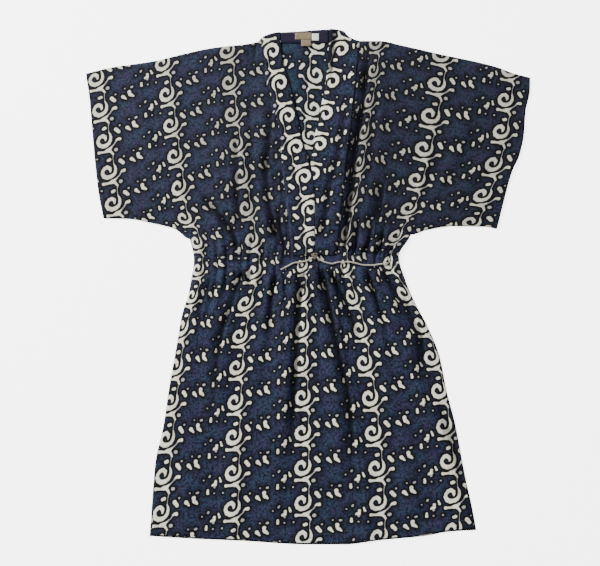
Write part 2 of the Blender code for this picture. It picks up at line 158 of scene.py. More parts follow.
# Small creases of the cloth that the model's walls leave out. Each is a soft ridge between two
# points, bowed sideways in the middle, highest at the share swell of its length, and leaning:
# its left flank, seen along it, is wider when lean is above 0.
Crease = namedtuple("Crease", "x0 y0 x1 y1 width height bow swell lean")
CREASES = rows_of(
    Crease,
    # Skirt, from the waist down.
    (-4, 12, 14, -430, 44, 2.6, 2, 0.20, 0.1),
    (46, 8, 92, -330, 30, 3.2, -8, 0.35, -0.3),
    (-66, 26, -112, -262, 44, 2.8, 6, 0.30, -0.3),
    (134, 6, 214, -250, 44, 3.0, -9, 0.35, -0.3),
    (-100, 10, -128, -150, 26, 2.0, 4, 0.25, 0.2),
    (-44, 6, -66, -330, 28, 2.0, -3, 0.30, 0.2),
    (104, 6, 138, -210, 30, 2.2, 6, 0.30, 0.0),
    (160, 6, 196, -96, 22, 2.4, 3, 0.30, 0.1),
    (-180, 8, -214, -150, 28, 2.6, 5, 0.30, -0.1),
    (-150, 10, -190, -120, 20, 2.4, 3, 0.30, 0.1),
    (66, 8, 88, -64, 13, 2.6, -3, 0.25, 0.2),
    (78, 10, 110, -60, 12, 2.6, 2, 0.25, 0.2),
    (140, 12, 176, -34, 12, 2.2, 2, 0.30, 0.0),
    (-8, 10, -10, -70, 14, 2.0, 2, 0.25, -0.2),
    (-70, 8, -84, -90, 14, 2.4, 3, 0.25, 0.2),
    (-88, 12, -104, -56, 12, 2.0, -2, 0.25, 0.1),
    (-108, 12, -136, -64, 13, 2.2, -2, 0.25, 0.0),
    (-166, 14, -186, -50, 13, 2.2, 2, 0.30, 0.1),
    (-46, 12, -52, -50, 11, 1.8, 2, 0.30, 0.1),
    # Broad swells down to the hem.
    (-205, -250, -226, -470, 60, 3.2, 6, 0.60, 0.1),
    (-120, -230, -128, -480, 56, 3.6, -6, 0.65, -0.2),
    (-60, -280, -66, -486, 40, 2.6, 5, 0.60, 0.2),
    (90, -300, 98, -488, 46, 3.4, 6, 0.65, -0.2),
    (166, -250, 188, -480, 54, 3.2, -6, 0.62, 0.1),
    (246, -260, 266, -468, 36, 2.4, 5, 0.60, 0.0),
    # Bodice beside the bands.
    (142, 420, 100, 70, 34, 2.6, 10, 0.50, 0.2),
    (-112, 400, -106, 84, 34, 2.6, -6, 0.55, -0.3),
    (-160, 400, -154, 90, 34, 2.4, -8, 0.50, -0.2),
    (-54, 230, -44, 40, 14, 1.8, -4, 0.60, 0.1),
    (76, 130, 70, 30, 13, 2.4, 3, 0.65, 0.1),
    (97, 120, 92, 30, 13, 2.4, 3, 0.65, 0.0),
    (119, 120, 114, 32, 13, 2.4, 3, 0.65, 0.0),
    (146, 120, 138, 34, 15, 2.4, 3, 0.65, 0.0),
    (-82, 130, -78, 32, 13, 2.2, 3, 0.65, 0.0),
    (-108, 130, -100, 32, 14, 2.4, -3, 0.65, 0.1),
    (-176, 124, -158, 32, 14, 2.4, 3, 0.65, 0.0),
    (-200, 104, -188, 34, 13, 2.2, 2, 0.65, 0.0),
    # From the underarms across the sleeves.
    (-214, 84, -262, 390, 34, 2.6, 14, 0.35, 0.1),
    (-226, 96, -330, 388, 40, 2.4, 16, 0.40, 0.0),
    (-250, 100, -396, 330, 40, 2.2, 14, 0.45, 0.1),
    (-300, 104, -404, 240, 34, 1.8, 8, 0.50, 0.0),
    (186, 92, 234, 404, 34, 2.8, -14, 0.35, 0.0),
    (200, 96, 322, 380, 42, 2.6, -16, 0.40, 0.1),
    (232, 100, 392, 320, 40, 2.2, -14, 0.45, 0.0),
    (280, 98, 390, 220, 32, 1.8, -8, 0.50, 0.1),
)

# The deep folds that run into the gathers. Each line is the middle of a valley's broad flank, on
# the viewer's left; the other flank is steep. The cloth stands up by the swell to both sides. The
# first point is the deep end, and the valley fades toward the last one from the share hold.
# Each valley's cut also sets the painted shade in the cloth's colour, darkest at its bottom.
Valley = namedtuple("Valley", "width depth swell hold line")
VALLEYS = rows_of(
    Valley,
    # Skirt.
    (17, 7.6, 5.6, 0.48, [(-14, 12), (-20, -30), (-25, -85), (-29, -174),
     (-35, -262), (-40, -400)]),
    (20, 8.2, 6.0, 0.52, [(14, 16), (24, -35), (35, -94), (48, -156),
     (61, -218), (67, -279), (66, -400)]),
    (12, 7.0, 3.8, 0.42, [(33, 12), (58, -48), (77, -94), (98, -160)]),
    (13, 6.0, 4.2, 0.40, [(97, 14), (121, -62), (140, -130)]),
    (11, 6.6, 3.2, 0.45, [(122, 12), (154, -39), (170, -80)]),
    (17, 6.4, 4.8, 0.45, [(-122, 10), (-150, -67), (-163, -112), (-171, -174), (-178, -300)]),
    (24, 7.2, 4.0, 0.60, [(160, -40), (178, -90), (192, -125), (190, -200)]),
    (12, 3.6, 2.4, 0.50, [(-60, 6), (-72, -50), (-76, -150)]),
    (11, 3.6, 2.6, 0.40, [(-176, 0), (-198, -60), (-208, -160)]),
    (18, 4.6, 3.0, 0.70, [(224, -230), (246, -310), (264, -420)]),
    # Bodice.
    (20, 8.8, 5.8, 0.80, [(57, 40), (64, 100), (74, 166), (81, 233),
     (94, 311), (101, 376), (107, 440)]),
    (13, 6.4, 4.2, 0.55, [(20, 66), (27, 109), (35, 166), (46, 204), (59, 272), (74, 380)]),
    (17, 6.6, 4.8, 0.48, [(-66, 60), (-70, 90), (-77, 119), (-84, 195), (-78, 272), (-75, 390)]),
    (14, 5.2, 3.4, 0.65, [(-132, 90), (-136, 137), (-138, 204), (-142, 300)]),
    (16, 6.2, 4.0, 0.45, [(-134, 40), (-144, 72), (-162, 98), (-190, 132), (-220, 180)]),
    (17, 7.6, 3.8, 0.55, [(-50, 40), (-58, 80), (-62, 130)]),
    (11, 6.2, 3.2, 0.45, [(80, 38), (85, 76), (90, 120)]),
    (11, 6.2, 3.2, 0.45, [(100, 36), (108, 72), (114, 112)]),
    (11, 5.8, 3.0, 0.45, [(126, 34), (129, 62), (138, 100)]),
    (24, 6.6, 3.4, 0.55, [(116, 96), (122, 130), (130, 190)]),
    (18, 5.0, 1.6, 0.50, [(-108, 456), (-110, 430), (-112, 386)]),
    (20, 10.0, 1.0, 0.70, [(43, 484), (41, 452), (37, 411), (32, 366)]),
)
VALLEY_SIZE = 1.35
STEEP = 5.0
SWELL_REACH = 24.0
# The cloth's height fades to the seams, and is pressed softly below a top.
SEAM_FADE = 13.0
SOFT_TOP = 8.5 * MM
SOFT_ROOM = 5.0 * MM
# How much painted shade darkens the cloth's colour at the bottom of a deep fold.
FOLD_SHADE = 0.84

# The print's scrolls, as places on the laid garment: the column, its top row, and the middles of
# the scrolls from that row down. The columns keep their order round the gathers, and the rows are
# counted up the cloth.
Mark = namedtuple("Mark", "column row x y")
FRONT_MARKS = [
    Mark(column, top_row - i, x, y)
    for column, top_row, middles in (
        (-3, 14, ((-399, 373), (-389, 313), (-379, 252), (-368, 192), (-358, 132), (-345, 75))),
        (-2, 14, (
            (-275, 404), (-265, 343), (-256, 282), (-247, 222), (-238, 162), (-228, 103),
            (-203, 57), (-199, 7), (-209, -42), (-227, -97),
        )),
        (-2.2, 8, ((-218, 60), (-213, 7), (-224, -36))),
        (-1.8, 8, ((-187, 55), (-184, 7), (-194, -47))),
        (-2, 4, ((-236, -167), (-243, -229), (-248, -293), (-252, -356), (-255, -419))),
        (-1, 14, (
            (-153, 429), (-148, 367), (-143, 304), (-133, 244), (-123, 183), (-113, 122),
            (-102, 63), (-98, 3), (-113, -54), (-122, -113), (-127, -168), (-129, -229),
            (-131, -290), (-131, -351), (-132, -411),
        )),
        (0, 14, (
            (-13, 438), (-13, 379), (-14, 318), (-15, 257), (-15, 197), (-15, 135), (-15, 73),
            (-12, 14), (-11, -36), (-11, -99), (-13, -161), (-10, -221), (-10, -282), (-10, -342),
            (-10, -402), (-8, -460),
        )),
        (0.72, 13, ((104, 388), (96, 330), (86, 268), (77, 207), (64, 143), (52, 77))),
        (1, 14, (
            (128, 445), (122, 389), (113, 330), (103, 268), (94, 207), (80, 143), (67, 77),
            (65, 14), (78, -42), (93, -101), (99, -160), (109, -222), (113, -283), (119, -343),
            (120, -402),
        )),
        (2, 14, (
            (252, 421), (243, 363), (230, 300), (216, 235), (201, 176), (186, 122), (162, 70),
            (145, 21),
        )),
        (2.2, 8, ((178, 73), (160, 24), (189, -32))),
        (2, 6, (
            (173, -36), (202, -92), (219, -151), (231, -209), (238, -271), (243, -331),
            (249, -389), (249, -447),
        )),
        (3, 14, ((380, 391), (371, 333), (360, 270), (344, 207), (321, 147), (299, 95))),
    )
    for i, (x, y) in enumerate(middles)
]
MARK_SMOOTHING = 0.02

# The bands are cut from the same cloth the other way up, so their columns and rows count down.
Turn = namedtuple("Turn", "row x y")
LEFT_BAND_TURNS = rows_of(
    Turn, (0, -69, 427), (1, -54, 363), (2, -39, 298), (3, -24, 237), (4, -9, 180), (5, 2, 120),
    (6, 5, 62),
)
RIGHT_BAND_TURNS = rows_of(
    Turn, (0, 61, 431), (1, 43, 367), (2, 31, 303), (3, 19, 243), (4, 6, 185), (5, -8, 126),
    (6, -10, 66),
)
# The back's inside shows the print mirrored.
BACK_TURNS = rows_of(
    Turn, (0, 13, 383), (1, 8, 316), (2, 3, 260), (3, -2, 199),
)
REPEAT = Vector((126.0, 61.0))

# One repeat of the print: each stroke is a round brush drawn from one end to the other,
# as ends and brush radii from the scroll's middle, x to the right and y up the cloth.
Stroke = namedtuple("Stroke", "x0 y0 r0 x1 y1 r1")


def brush(*places):
    """The strokes from each place to the next, each place given as x, y and radius."""
    return [Stroke(*start, *end) for start, end in zip(places, places[1:])]


SCROLL = [
    # The scroll, from its inner tip round to the taper above it.
    *brush(
        (2.0, -1.8, 1.0), (2.6, 1.2, 2.1), (1.8, 5.2, 3.2), (-1.8, 8.0, 3.4), (-6.8, 6.6, 2.8),
        (-10.8, 1.8, 2.5), (-11.9, -3.6, 2.9), (-9.2, -9.2, 3.7), (-4.0, -11.9, 3.8),
        (2.2, -11.2, 3.4), (7.8, -8.3, 2.8), (11.2, -3.4, 2.4), (12.4, 2.4, 2.2), (11.9, 7.4, 1.6),
        (10.4, 12.0, 0.7),
    ),
    # The bar above it, with its foot and the two ends of its arm.
    *brush(
        (-12.4, 38.2, 2.7), (-9.0, 38.2, 2.0), (-3.4, 38.0, 1.7), (3.4, 39.2, 3.7),
        (7.4, 41.0, 2.7),
    ),
    *brush((6.6, 37.8, 2.5), (9.8, 34.6, 1.9), (12.0, 30.6, 1.6)),
    *brush((7.4, 41.6, 2.3), (11.4, 44.2, 1.2)),
    *brush((21.6, 54.8, 1.2), (24.2, 56.4, 2.3), (27.8, 56.6, 2.9)),
    # The seeds round them.
    *brush((1.2, 20.8, 2.5), (4.2, 21.8, 2.7)),
    *brush((23.4, 15.2, 3.4), (27.8, 9.8, 2.9)),
    *brush((44.2, 13.8, 3.3), (49.4, 8.4, 1.2)),
    *brush((57.0, 20.2, 3.3), (58.4, 14.8, 3.6), (63.2, 10.6, 1.7)),
    *brush((81.2, 31.6, 1.8), (81.0, 26.8, 2.3)),
    *brush((-36.8, -21.2, 1.7), (-32.6, -19.4, 3.3), (-31.4, -14.6, 2.3)),
    *brush((-24.3, -9.0, 1.2), (-22.3, -14.8, 1.9)),
]
# What is cut back out of them, to make the crescents.
NOTCHES = rows_of(
    Stroke, (62.9, 18.4, 3.2, 63.3, 18.4, 3.2), (-36.4, -15.8, 2.4, -36.0, -15.8, 2.4),
    (20.6, 9.0, 1.9, 21.0, 8.8, 1.9),
)
# What is printed faintly: the middle of the arm, the stem from the foot down to the scroll, and
# the dots.
FAINT_STROKES = [
    *brush((11.0, 43.9, 1.2), (17.8, 49.4, 0.7), (22.0, 55.0, 1.2)),
    *brush((11.9, 30.0, 0.7), (10.4, 22.0, 0.3)),
    *brush((10.4, 21.0, 0.3), (10.2, 12.6, 0.4)),
    *rows_of(
        Stroke, (18.2, 37.2, 2.9, 19.0, 37.4, 2.9), (30.9, 21.4, 1.4, 31.3, 21.6, 1.4),
        (61.8, 28.4, 1.7, 63.8, 28.9, 1.7), (92.8, 36.8, 1.7, 93.2, 36.6, 1.7),
        (-43.0, -6.5, 1.7, -41.9, -5.1, 1.5), (-17.5, -34.6, 1.3, -17.1, -34.6, 1.3),
        (-33.6, -34.6, 1.2, -33.2, -34.6, 1.2), (72.8, -12.3, 1.1, 73.2, -12.3, 1.1),
        (49.3, 28.9, 1.1, 49.7, 28.9, 1.1),
    ),
]
# How far the dark outline reaches out from a stroke, and over how far a stroke's edge fades.
OUTLINE = 2.9
EDGE_SOFT = 0.9

# How high the fine pleats at the waist stand.
PLEAT_HEIGHT = 1.9 * MM
# How near to the cord's middle the cloth stays down, and over how far it then rises.
CORD_CLEAR = 3.5 * MM
CORD_FADE = 8.0 * MM
# How much of a column of print each gather hides in its valley, over what share of the gather's
# width, and how far from the waist.
HIDDEN_PRINT = 0.06
HIDDEN_EDGE = 0.14
HIDDEN_REACH = 70.0 * MM

# The cloth's own thickness, its hems, the cord's channel and the neck's edge.
SHELL = 0.6 * MM
BAND_SHELL = 0.9 * MM
HEM_DEPTH = 17.0 * MM
HEM_RISE = 0.45 * MM
STITCH_LINE = HEM_DEPTH - 2.5 * MM
CASING = 6.5 * MM
NECK_ROLL = 2.2 * MM
# The cloth lies low beside the left edge of the neck, above the lap, over this width.
NECK_FLAT = 26.0 * MM

# The print's colours. DULL_PRINT and DULL_GROUND are blended in from below the waist upward,
# FLECK is in the ground's grain, and STAIN and WASHED are in the scrolls.
CREAM = (0.75, 0.74, 0.62)
FAINT = (0.34, 0.34, 0.35)
OUTLINE_INK = (0.003, 0.003, 0.003)
DULL_PRINT = (0.26, 0.25, 0.23)
DULL_GROUND = (0.030, 0.029, 0.032)
FLECK = (0.042, 0.046, 0.082)
STAIN = (0.44, 0.38, 0.30)
WASHED = (0.38, 0.40, 0.38)
STITCH_INK = (0.050, 0.058, 0.09)
STITCH_SHARE = 0.45
# The pitch of the stitches, in millimetres.
STITCH_PITCH = 3.2
# How far the print's hand-drawn edge wanders, in millimetres.
WOBBLE = 1.5
# The rows or columns of the print between which its tones change, then from what to what share.
PRINT_DULLS = (5.0, 9.0, 0.0, 0.8)
GROUND_DULLS = (6.5, 10.0, 0.0, 0.14)
SLEEVES_STAY_BRIGHT = (1.2, 2.4, 1.0, 0.34)
# FAR_SIDE_COLUMNS and FAR_SIDE_ROWS bound the painted shade on the garment's right above the waist,
# the side away from the key light, and FAR_SIDE_SHADE is how much it darkens.
FAR_SIDE_COLUMNS = (0.2, 1.6)
FAR_SIDE_ROWS = (6.5, 8.5)
FAR_SIDE_SHADE = 0.22


def mix(low, high, share):
    return low + (high - low) * share


def smooth_step(value):
    value = np.clip(value, 0.0, 1.0)
    return value * value * (3.0 - 2.0 * value)


def smooth_curve(keys, values):
    """A smooth curve through the values that never overshoots them, as a function of the key."""
    slopes = [
        (values[i + 1] - values[i]) / (keys[i + 1] - keys[i]) for i in range(len(keys) - 1)
    ]
    tangents = [slopes[0]]
    for before, after in zip(slopes, slopes[1:]):
        turns = before * after <= 0.0
        tangents.append(0.0 if turns else 2.0 * before * after / (before + after))
    tangents.append(slopes[-1])

    def value_at(key):
        key = min(max(key, keys[0]), keys[-1])
        i = min(bisect.bisect_right(keys, key), len(keys) - 1) - 1
        span = keys[i + 1] - keys[i]
        t = (key - keys[i]) / span
        rise = values[i + 1] - values[i]
        bend_in = tangents[i] * span - rise
        bend_out = rise - tangents[i + 1] * span
        return values[i] + rise * t + t * (1.0 - t) * ((1.0 - t) * bend_in + t * bend_out)

    return value_at


def line_across(points):
    return smooth_curve([p.x * MM for p in points], [p.y * MM for p in points])


def line_up(points):
    return smooth_curve([p.y * MM for p in points], [p.x * MM for p in points])


LINES = [line_across(points) for points in (HEM, WAIST, UNDERARM, SHOULDER)]
left_side = line_up(LEFT_SIDE)
right_side = line_up(RIGHT_SIDE)
left_cuff = line_up(LEFT_CUFF)
right_cuff = line_up(RIGHT_CUFF)
neck_keys = [row.y * MM for row in NECK]
neck_lines = {
    column: smooth_curve(neck_keys, [getattr(row, column) * MM for row in NECK])
    for column in Neck._fields[1:]
}


def place(across, level):
    """Where the cloth lies: across runs 0 to 1 from side to side, -1 to 0 along the left sleeve
    and 1 to 2 along the right one; level 0 is the hem, 1 the waist, 2 the underarm, 3 the top."""
    low = min(int(level), len(LINES) - 2)
    share = level - low

    def height(body_share, sleeve_share):
        found = []
        for i in (low, low + 1):
            x = mix(BODY_ENDS[i].left, BODY_ENDS[i].right, body_share) * MM
            if sleeve_share and i >= 2:
                cuff = (UNDERARM, SHOULDER)[i - 2][0 if body_share == 0.0 else -1].x * MM
                x = mix(x, cuff, sleeve_share)
            found.append(LINES[i](x))
        return mix(found[0], found[1], share)

    body_share = min(max(across, 0.0), 1.0)
    sleeve_share = abs(across - body_share)
    y_left = height(0.0, 0.0)
    y_right = height(1.0, 0.0)
    x = mix(left_side(y_left), right_side(y_right), body_share)
    if sleeve_share:
        cuff_y = height(body_share, 1.0)
        cuff_x = left_cuff(cuff_y) if across < 0.0 else right_cuff(cuff_y)
        x = mix(x, cuff_x, sleeve_share)
    return x, height(body_share, sleeve_share)


def across_at(column, level):
    """The share across the body where a line of the V neck crosses a row."""
    low, high = 0.0, 1.0
    for _ in range(24):
        middle = 0.5 * (low + high)
        x, y = place(middle, level)
        if x < neck_lines[column](y):
            low = middle
        else:
            high = middle
    return low


def gather_edges():
    widths = [1.0 + 0.28 * math.sin(2.4 * i + 0.6) for i in range(GATHERS)]
    edges = [0.0]
    for width in widths:
        edges.append(edges[-1] + width / sum(widths))
    return edges


GATHER_EDGES = np.array(gather_edges())


def at_points(curve, keys):
    return np.array([curve(key) for key in keys])


def gather_at(across):
    """The number of the gather at each point, and the share of its width there."""
    number = np.clip(np.searchsorted(GATHER_EDGES, across, side="right"), 1, GATHERS) - 1
    share = (across - GATHER_EDGES[number]) / (GATHER_EDGES[number + 1] - GATHER_EDGES[number])
    return number, np.clip(share, 0.0, 1.0)


def gather_height(across, x, y):
    """How high the gathers stand at each point, as in the model, with finer pleats on them."""
    above_waist = y - at_points(LINES[1], x)
    number, share = gather_at(across)
    wave = np.sin(math.pi * share) ** 0.8
    wave = wave * (0.85 + 0.25 * np.sin(3.7 * number + 1.0))
    reach = np.where(above_waist > 0.0, REACH_UP, REACH_DOWN)
    reach = reach * (0.85 + 0.15 * np.sin(5.0 * number))
    distance = np.abs(above_waist)
    size = mix(WAIST_RIPPLE, GATHER_HEIGHT, smooth_step(distance / GATHER_RISE))
    size = size * (1.0 - smooth_step(distance / reach))
    left = at_points(neck_lines["left_outer"], y)
    right = at_points(neck_lines["right_outer"], y)
    beside_band = np.maximum(left - x, x - right)
    flat_by_band = np.where(above_waist > 0.0, smooth_step(beside_band / GATHER_FLAT_BY_BAND), 1.0)
    on_body = (across >= 0.0) & (across <= 1.0)
    pleat = np.abs(np.sin(across * 118.0 + 0.85 * np.sin(across * 41.0)))
    fine = PLEAT_HEIGHT * pleat * (1.0 - smooth_step((distance - 10.0 * MM) / (48.0 * MM)))
    return np.where(on_body, (size * wave + fine) * flat_by_band, 0.0)


def line_frame(line):
    """The start, the direction and the length of a fold's or a crease's line."""
    start = np.array((line.x0, line.y0)) * MM
    end = np.array((line.x1, line.y1)) * MM
    length = np.linalg.norm(end - start)
    return start, (end - start) / length, length


def fold_height(fold, x, y):
    """How high one of the model's own broad folds stands at each point."""
    start, along, length = line_frame(fold)
    share = ((x - start[0]) * along[0] + (y - start[1]) * along[1]) / length
    side = np.abs((x - start[0]) * along[1] - (y - start[1]) * along[0]) / (0.5 * fold.width * MM)
    on = (side < 1.0) & (share > 0.0) & (share < 1.0)
    height = fold.height * MM * np.sin(math.pi * share) * np.cos(0.5 * math.pi * side) ** 2
    return np.where(on, height, 0.0)


def crease_height(crease, x, y):
    """How high one small crease stands at each point."""
    start, along, length = line_frame(crease)
    share = np.clip(((x - start[0]) * along[0] + (y - start[1]) * along[1]) / length, 0.0, 1.0)
    side = (y - start[1]) * along[0] - (x - start[0]) * along[1]
    side = side - crease.bow * MM * 4.0 * share * (1.0 - share)
    half = 0.5 * crease.width * MM * np.where(side > 0.0, 1.0 + crease.lean, 1.0 - crease.lean)
    half = half * mix(0.55, 1.0, smooth_step(share * 2.0))
    before = share / crease.swell * 0.5
    after = 0.5 + 0.5 * (share - crease.swell) / (1.0 - crease.swell)
    rise = np.sin(math.pi * np.where(share < crease.swell, before, after))
    offset = np.abs(side) / half
    ridge = np.where(offset < 1.0, np.cos(0.5 * math.pi * np.minimum(offset, 1.0)) ** 2, 0.0)
    return crease.height * MM * rise * ridge


def waviness(x, y, size, seed):
    """A soft uneven height, -1 to 1, that changes over about the size given."""
    return np.array([noise.noise(Vector((a / size, b / size, seed))) for a, b in zip(x, y)])


def clear_of_cord(x, y):
    """0 under the cord's free ends, where the cloth is as low as in the model, 1 away from it."""
    nearest = np.full(len(x), 1.0)
    for route in (CORD_LEFT, CORD_RIGHT):
        for before, after in zip(route, route[1:]):
            for share in (0.0, 0.25, 0.5, 0.75, 1.0):
                cord_x = mix(before.x, after.x, share) * MM
                cord_y = mix(before.y, after.y, share) * MM
                nearest = np.minimum(nearest, np.hypot(x - cord_x, y - cord_y))
    return smooth_step((nearest - CORD_CLEAR) / CORD_FADE)


def valley_relief(valley, x, y):
    """How far one deep fold lifts the cloth beside it, and how far it cuts its valley down."""
    start, end = valley.line[0], valley.line[-1]
    ends = sorted((start[1] * MM, end[1] * MM))
    middle = line_up([Point(*point) for point in sorted(valley.line, key=lambda p: p[1])])
    share = (y - start[1] * MM) / ((end[1] - start[1]) * MM)
    near = (y > ends[0]) & (y < ends[1]) & (share > 0.0)
    lift = np.zeros(len(x))
    cut = np.zeros(len(x))
    if not near.any():
        return lift, cut
    across_x = at_points(middle, y[near])
    ahead = at_points(middle, y[near] + 2.0 * MM)
    behind = at_points(middle, y[near] - 2.0 * MM)
    square = 1.0 / np.hypot(1.0, (ahead - behind) / (4.0 * MM))
    side = (x[near] - across_x) * square / MM
    strength = smooth_step(share[near] * abs(end[1] - start[1]) / 14.0)
    fade = 1.0 - smooth_step((share[near] - valley.hold) / (1.0 - valley.hold))
    wander = 0.8 + 0.35 * waviness(x[near] * 0.0 + start[0], y[near], 0.06, 7.0)
    strength = strength * fade * wander
    down = np.clip((side + valley.width / 2) / valley.width, 0.0, 1.0) ** 1.25
    up = 1.0 - smooth_step((side - valley.width / 2) / STEEP)
    size = strength * VALLEY_SIZE * MM
    lift[near] = size * valley.swell * np.exp(-(side / SWELL_REACH) ** 2)
    cut[near] = size * valley.depth * np.where(side < valley.width / 2, down, up)
    return lift, cut


def fold_shade(x, y):
    """The painted shade in the cloth's colour at each point: 0 on open cloth, 1 in the deepest
    fold.
    """
    cut = np.max([valley_relief(valley, x, y)[1] for valley in VALLEYS], axis=0)
    return np.clip(cut / (7.5 * MM), 0.0, 1.0)


def seam_points():
    """Points along the seams and the shoulders, where the front is joined to the back."""
    points = []
    for side in (left_side, right_side):
        points += [(side(y), y) for y in np.arange(SLIT_TOP, 80.0 * MM, 4.0 * MM)]
    for first, last in ((-375, -216), (187, 345)):
        points += [(x, LINES[2](x)) for x in np.arange(first * MM, last * MM, 4.0 * MM)]
    points += [(x, LINES[3](x)) for x in np.arange(-419 * MM, 419 * MM, 4.0 * MM)]
    return np.array(points)


def from_seams(x, y):
    """1 well away from the seams, falling to 0 at them."""
    nearest = np.full(len(x), 1.0)
    for seam_x, seam_y in seam_points():
        nearest = np.minimum(nearest, np.hypot(x - seam_x, y - seam_y))
    return smooth_step((nearest + 1.0 * MM) / (SEAM_FADE * MM))


def front_height(across, x, y):
    """How high the front's underside stands above the back."""
    extra = sum(crease_height(crease, x, y) for crease in CREASES)
    for valley in VALLEYS:
        lift, cut = valley_relief(valley, x, y)
        extra = extra + lift - cut
    extra = extra + 1.6 * MM * (0.5 + waviness(x, y, 0.075, 1.0))
    extra = extra + 0.8 * MM * waviness(x, y, 0.028, 5.0)
    gathers = gather_height(across, x, y)
    low = np.minimum(gathers, 3.0 * MM)
    clear = clear_of_cord(x, y)
    folds = np.max([fold_height(fold, x, y) for fold in FOLDS], axis=0)
    left_edge = at_points(neck_lines["left_cut"], y)
    by_neck = smooth_step((np.abs(left_edge - x) - 2.0 * MM) / NECK_FLAT)
    by_neck = np.where(y > LAP_TOP, mix(0.25, 1.0, by_neck), 1.0)
    loose = clear * from_seams(x, y) * by_neck
    height = mix(low, gathers, clear) + mix(folds, 0.6 * folds + extra, loose)
    pressed = SOFT_TOP + SOFT_ROOM * np.tanh((height - SOFT_TOP) / SOFT_ROOM)
    return np.maximum(np.where(height > SOFT_TOP, pressed, height), 0.0)


def gathered_print(uv, across, x, y):
    """The front's print with part of it hidden in each gather's valley."""
    _, share = gather_at(across)
    ends = np.minimum(share, 1.0 - share) / HIDDEN_EDGE
    saw = (share - 0.5) * smooth_step(ends)
    distance = np.abs(y - at_points(LINES[1], x))
    fade = 1.0 - smooth_step((distance - 10.0 * MM) / HIDDEN_REACH)
    on_body = (across >= 0.0) & (across <= 1.0)
    shift = np.where(on_body, HIDDEN_PRINT * saw * fade, 0.0)
    return uv - np.column_stack([shift, np.zeros(len(shift))])


def thin_plate(places, values, smoothing):
    """A smooth map near the given places' values, as a function of many places in millimetres."""
    places = np.array(places, float) / 100.0

    def kernel(a, b):
        squared = ((a[:, None, :] - b[None, :, :]) ** 2).sum(axis=2)
        return 0.5 * squared * np.log(squared + 1e-12)

    count = len(places)
    affine = np.column_stack([np.ones(count), places])
    system = np.zeros((count + 3, count + 3))
    system[:count, :count] = kernel(places, places) + smoothing * np.eye(count)
    system[:count, count:] = affine
    system[count:, :count] = affine.T
    right = np.vstack([np.array(values, float), np.zeros((3, 2))])
    weights = np.linalg.solve(system, right)

    def values_at(many):
        many = np.array(many, float) / 100.0
        return kernel(many, places) @ weights[:count] + np.column_stack(
            [np.ones(len(many)), many]
        ) @ weights[count:]

    return values_at


def lattice(turns, across_sign, row_sign):
    """The print's map from one column of scrolls, with its neighbours a repeat to each side."""
    places = []
    values = []
    for i, turn in enumerate(turns):
        before = turns[max(i - 1, 0)]
        after = turns[min(i + 1, len(turns) - 1)]
        up = Vector((before.x - after.x, before.y - after.y)).normalized()
        for column in (-1, 0, 1):
            places.append((turn.x + column * REPEAT.x * up.y, turn.y - column * REPEAT.x * up.x))
            values.append((across_sign * column, row_sign * turn.row))
    return thin_plate(places, values, 0.0)


front_print = thin_plate(
    [(m.x, m.y) for m in FRONT_MARKS], [(m.column, m.row) for m in FRONT_MARKS], MARK_SMOOTHING
)
left_band_print = lattice(LEFT_BAND_TURNS, -1.0, 1.0)
right_band_print = lattice(RIGHT_BAND_TURNS, -1.0, 1.0)
back_print = lattice(BACK_TURNS, -1.0, -1.0)


def make_camera():
    """A camera that looks down, tilted a little toward the hem, as the photo was taken."""
    tilt = math.radians(9.5)
    distance = 1.509
    data = bpy.data.cameras.new("camera")
    data.lens = 50.0
    data.sensor_width = 36.0
    camera = bpy.data.objects.new("camera", data)
    camera.location = (-0.015, -0.017 - distance * math.sin(tilt), distance * math.cos(tilt))
    camera.rotation_euler = (tilt, 0.0, 0.0)
    bpy.context.scene.collection.objects.link(camera)
    bpy.context.scene.camera = camera


make_camera()


class Graph:
    """Adds nodes to a tree, each input given as a value or as another node's output."""

    def __init__(self, tree):
        self.tree = tree

    def add(self, kind, *inputs, out=0, **settings):
        node = self.tree.nodes.new(kind)
        for name, value in settings.items():
            setattr(node, name, value)
        for i, value in enumerate(inputs):
            if isinstance(value, bpy.types.NodeSocket):
                self.tree.links.new(value, node.inputs[i])
            elif value is not None:
                node.inputs[i].default_value = value
        return node.outputs[out]

    def split(self, vector):
        """The parts of a vector."""
        node = self.tree.nodes.new("ShaderNodeSeparateXYZ")
        self.tree.links.new(vector, node.inputs[0])
        return node.outputs

    def math(self, operation, *inputs):
        return self.add("ShaderNodeMath", *inputs, operation=operation)

    def vector(self, operation, *inputs):
        out = 1 if operation in ("DOT_PRODUCT", "LENGTH") else 0
        return self.add("ShaderNodeVectorMath", *inputs, out=out, operation=operation)

    def blend(self, share, low, high):
        node = self.tree.nodes.new("ShaderNodeMix")
        node.data_type = "RGBA"
        for i, value in ((0, share), (6, low), (7, high)):
            if isinstance(value, bpy.types.NodeSocket):
                self.tree.links.new(value, node.inputs[i])
            else:
                node.inputs[i].default_value = (*value, 1.0)
        return node.outputs[2]

    def ramp(self, value, low, high, out_low=0.0, out_high=1.0):
        return self.add(
            "ShaderNodeMapRange", value, low, high, out_low, out_high,
            interpolation_type="SMOOTHSTEP",
        )

    def noise(self, place, scale, detail=2.0, roughness=0.5, out=0):
        node = self.tree.nodes.new("ShaderNodeTexNoise")
        self.tree.links.new(place, node.inputs["Vector"])
        node.inputs["Scale"].default_value = scale
        node.inputs["Detail"].default_value = detail
        node.inputs["Roughness"].default_value = roughness
        return node.outputs[out]


